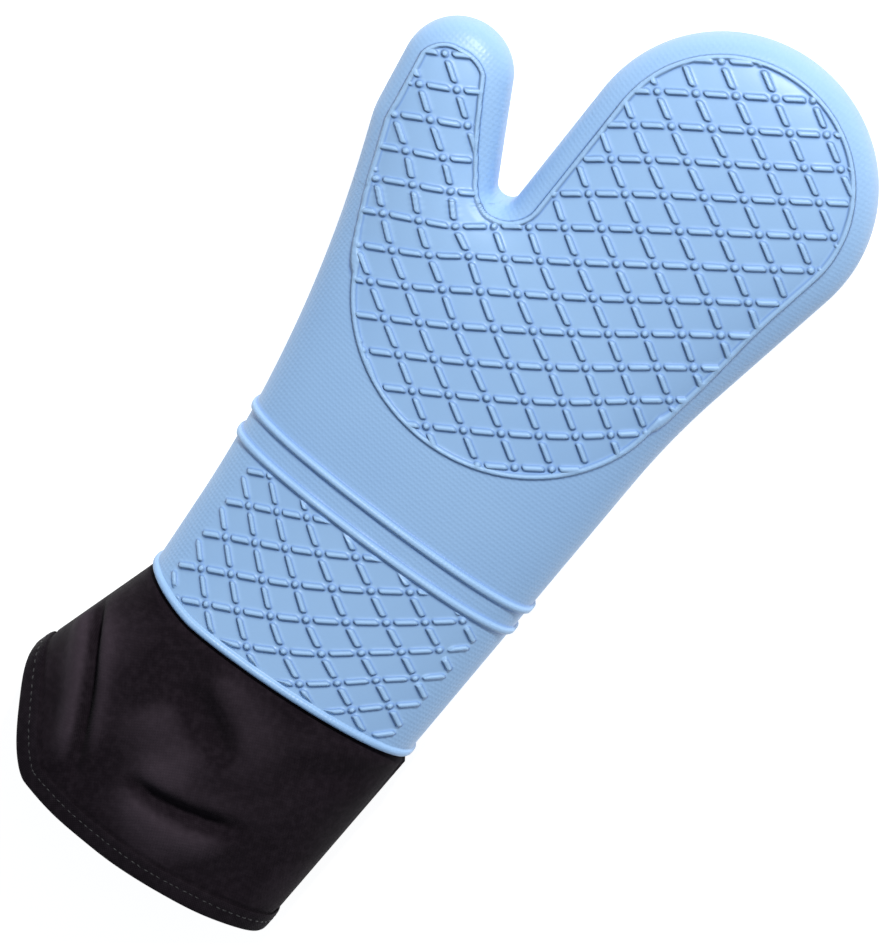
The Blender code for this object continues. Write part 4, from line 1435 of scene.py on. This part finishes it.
def build_tape(liner, name, side):
    """A strip of tape over the side seam, inside the cuff."""
    rows = np.arange(TAPE_FIRST_ROW, liner.cuff_count - TAPE_ROWS_SHORT)
    front, back = liner.skin.grids["palm"]
    picks = np.arange(TAPE_HALF_COLUMNS + 1)
    if side > 0:
        picks = front.shape[1] - 1 - picks
    strip = np.concatenate((back[rows][:, picks[::-1]], front[rows][:, picks[1:]]), axis=1)
    face = lining_face[strip]
    normals = liner.normals[strip]
    depths = (TAPE_CLEARANCE, TAPE_CLEARANCE + TAPE_THICKNESS)
    points = np.concatenate([face - normals * depth for depth in depths])
    count = len(rows)
    number = np.arange(points.shape[0] * points.shape[1]).reshape(points.shape[:2])
    outer, inner = number[:count], number[count:]

    def wall(first, second):
        return np.stack((first[:-1], first[1:], second[1:], second[:-1]), axis=-1)

    quads = [grid_quads(outer), grid_quads(inner)[:, ::-1]]
    quads += [wall(outer[0], inner[0])[:, ::-1], wall(outer[-1], inner[-1])]
    quads += [wall(outer[:, 0], inner[:, 0]), wall(outer[:, -1], inner[:, -1])[:, ::-1]]
    quads = np.vstack(quads)
    if side < 0:
        quads = quads[:, ::-1]
    places = np.vstack((liner.place[strip], liner.place[strip])).reshape(-1, 3)
    return make_object(name, points.reshape(-1, 3), quads, BINDING, attributes={"place": places})


mouth = MouthRing(liner)
soft["cuff_hem"] = build_binding(mouth)
soft["hem_stitches_outer"] = build_stitches(mouth, "hem_stitches_outer", -0.76 * MM)
soft["hem_stitches_inner"] = build_stitches(mouth, "hem_stitches_inner", 1.92 * MM)
soft["side_tape_left"] = build_tape(liner, "side_tape_left", -1)
soft["side_tape_right"] = build_tape(liner, "side_tape_right", 1)

SIDES = ("front", "back")
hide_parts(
    *[f"liner_cover_{part}_{side}" for part in ("palm", "fingers") for side in SIDES],
)
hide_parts(*[f"liner_cover_thumb_{side}" for side in SIDES])
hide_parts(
    "liner_fold_fingers",
    *[f"batting_{part}_{side}" for part in ("palm", "fingers") for side in SIDES],
)
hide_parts("liner_fold_thumb", *[f"batting_thumb_{side}" for side in SIDES])
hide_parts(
    *[f"lining_{part}_{side}" for part in ("palm", "fingers") for side in SIDES],
)
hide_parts(*[f"lining_thumb_{side}" for side in SIDES])
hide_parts("cuff_hem_front", "cuff_hem_back")
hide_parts("hem_stitching_outer")
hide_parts("hem_stitching_inner")
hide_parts("side_seam_tape_left")
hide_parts("side_seam_tape_right")


# ---------------------------------------------------------------- stage, camera and light
VIEW_WIDTH = 0.320
VIEW_DISTANCE = 12.0
TILT = math.radians(15.2)
AIM = np.array((-0.0004, 0.1753)) - ORIGIN
IMAGE_RIGHT = Vector((0.759, 0.628, -0.1705)).normalized()
KEY_HEADING = (-0.187, 0.982)
KEY_ELEVATION = 45.0
KEY_DISTANCE = 2.0
KEY_SIZE = 0.34
KEY_POWER = 40.5
WORLD_COLOUR = (0.80, 0.88, 1.0, 1.0)
WORLD_STRENGTH = 0.27
# The floor is lit from within, as the photograph's background is white with no shadow.
FLOOR_HALF_SIZE = 6.0
FLOOR_DROP = 0.2 * MM
FLOOR_SHADE = (0.40, 0.40, 0.40)
FLOOR_GLOW = 0.92


def build_camera():
    back = Vector((0.0, math.sin(TILT), math.cos(TILT)))
    right = (IMAGE_RIGHT - back * IMAGE_RIGHT.dot(back)).normalized()
    up = back.cross(right)
    target = Vector((AIM[0], AIM[1], MID_HEIGHT))
    data = bpy.data.cameras.new("camera")
    data.sensor_fit = "HORIZONTAL"
    data.sensor_width = 36.0
    data.lens = 36.0 * VIEW_DISTANCE / VIEW_WIDTH
    camera = bpy.data.objects.new("camera", data)
    basis = Matrix((right, up, back)).transposed().to_4x4()
    basis.translation = target + back * VIEW_DISTANCE
    camera.matrix_world = basis
    bpy.context.scene.collection.objects.link(camera)
    bpy.context.scene.camera = camera


def area_light(name, place, size, power):
    data = bpy.data.lights.new(name, "AREA")
    data.shape = "DISK"
    data.size = size
    data.energy = power
    light = bpy.data.objects.new(name, data)
    light.location = place
    light.rotation_euler = (-Vector(place)).to_track_quat("-Z", "Y").to_euler()
    bpy.context.scene.collection.objects.link(light)


def build_stage():
    mesh = bpy.data.meshes.new("floor")
    signs = ((-1, -1), (1, -1), (1, 1), (-1, 1))
    corners = [(x * FLOOR_HALF_SIZE, y * FLOOR_HALF_SIZE, -FLOOR_DROP) for x, y in signs]
    mesh.from_pydata(corners, [], [(0, 1, 2, 3)])
    graph = Graph("pale_floor", FLOOR_SHADE, 0.8)
    graph.set("Emission Color", (1.0, 1.0, 1.0, 1.0))
    graph.set("Emission Strength", FLOOR_GLOW)
    mesh.materials.append(graph.material)
    floor = bpy.data.objects.new("floor", mesh)
    bpy.context.scene.collection.objects.link(floor)
    world = bpy.data.worlds.new("studio")
    world.use_nodes = True
    background = world.node_tree.nodes["Background"].inputs
    background["Color"].default_value = WORLD_COLOUR
    background["Strength"].default_value = WORLD_STRENGTH
    bpy.context.scene.world = world
    bpy.context.scene.view_settings.view_transform = "Standard"
    rise = math.radians(KEY_ELEVATION)
    across = math.cos(rise) * KEY_DISTANCE
    key_place = (KEY_HEADING[0] * across, KEY_HEADING[1] * across, math.sin(rise) * KEY_DISTANCE)
    area_light("key", key_place, KEY_SIZE, KEY_POWER)


build_camera()
build_stage()


LINER_LAYERS = ("liner_cover", "batting", "lining")
for piece in (shell["silicone_hand"], *(soft[f"{layer}_hand"] for layer in LINER_LAYERS)):
    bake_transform(piece)
for piece in (shell["silicone_thumb"], *(soft[f"{layer}_thumb"] for layer in LINER_LAYERS)):
    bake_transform(piece)
STITCH_ROWS = ("hem_stitches_outer", "hem_stitches_inner")
for name in ("cuff_hem", *STITCH_ROWS, "side_tape_left", "side_tape_right"):
    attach(soft[name], "palm")
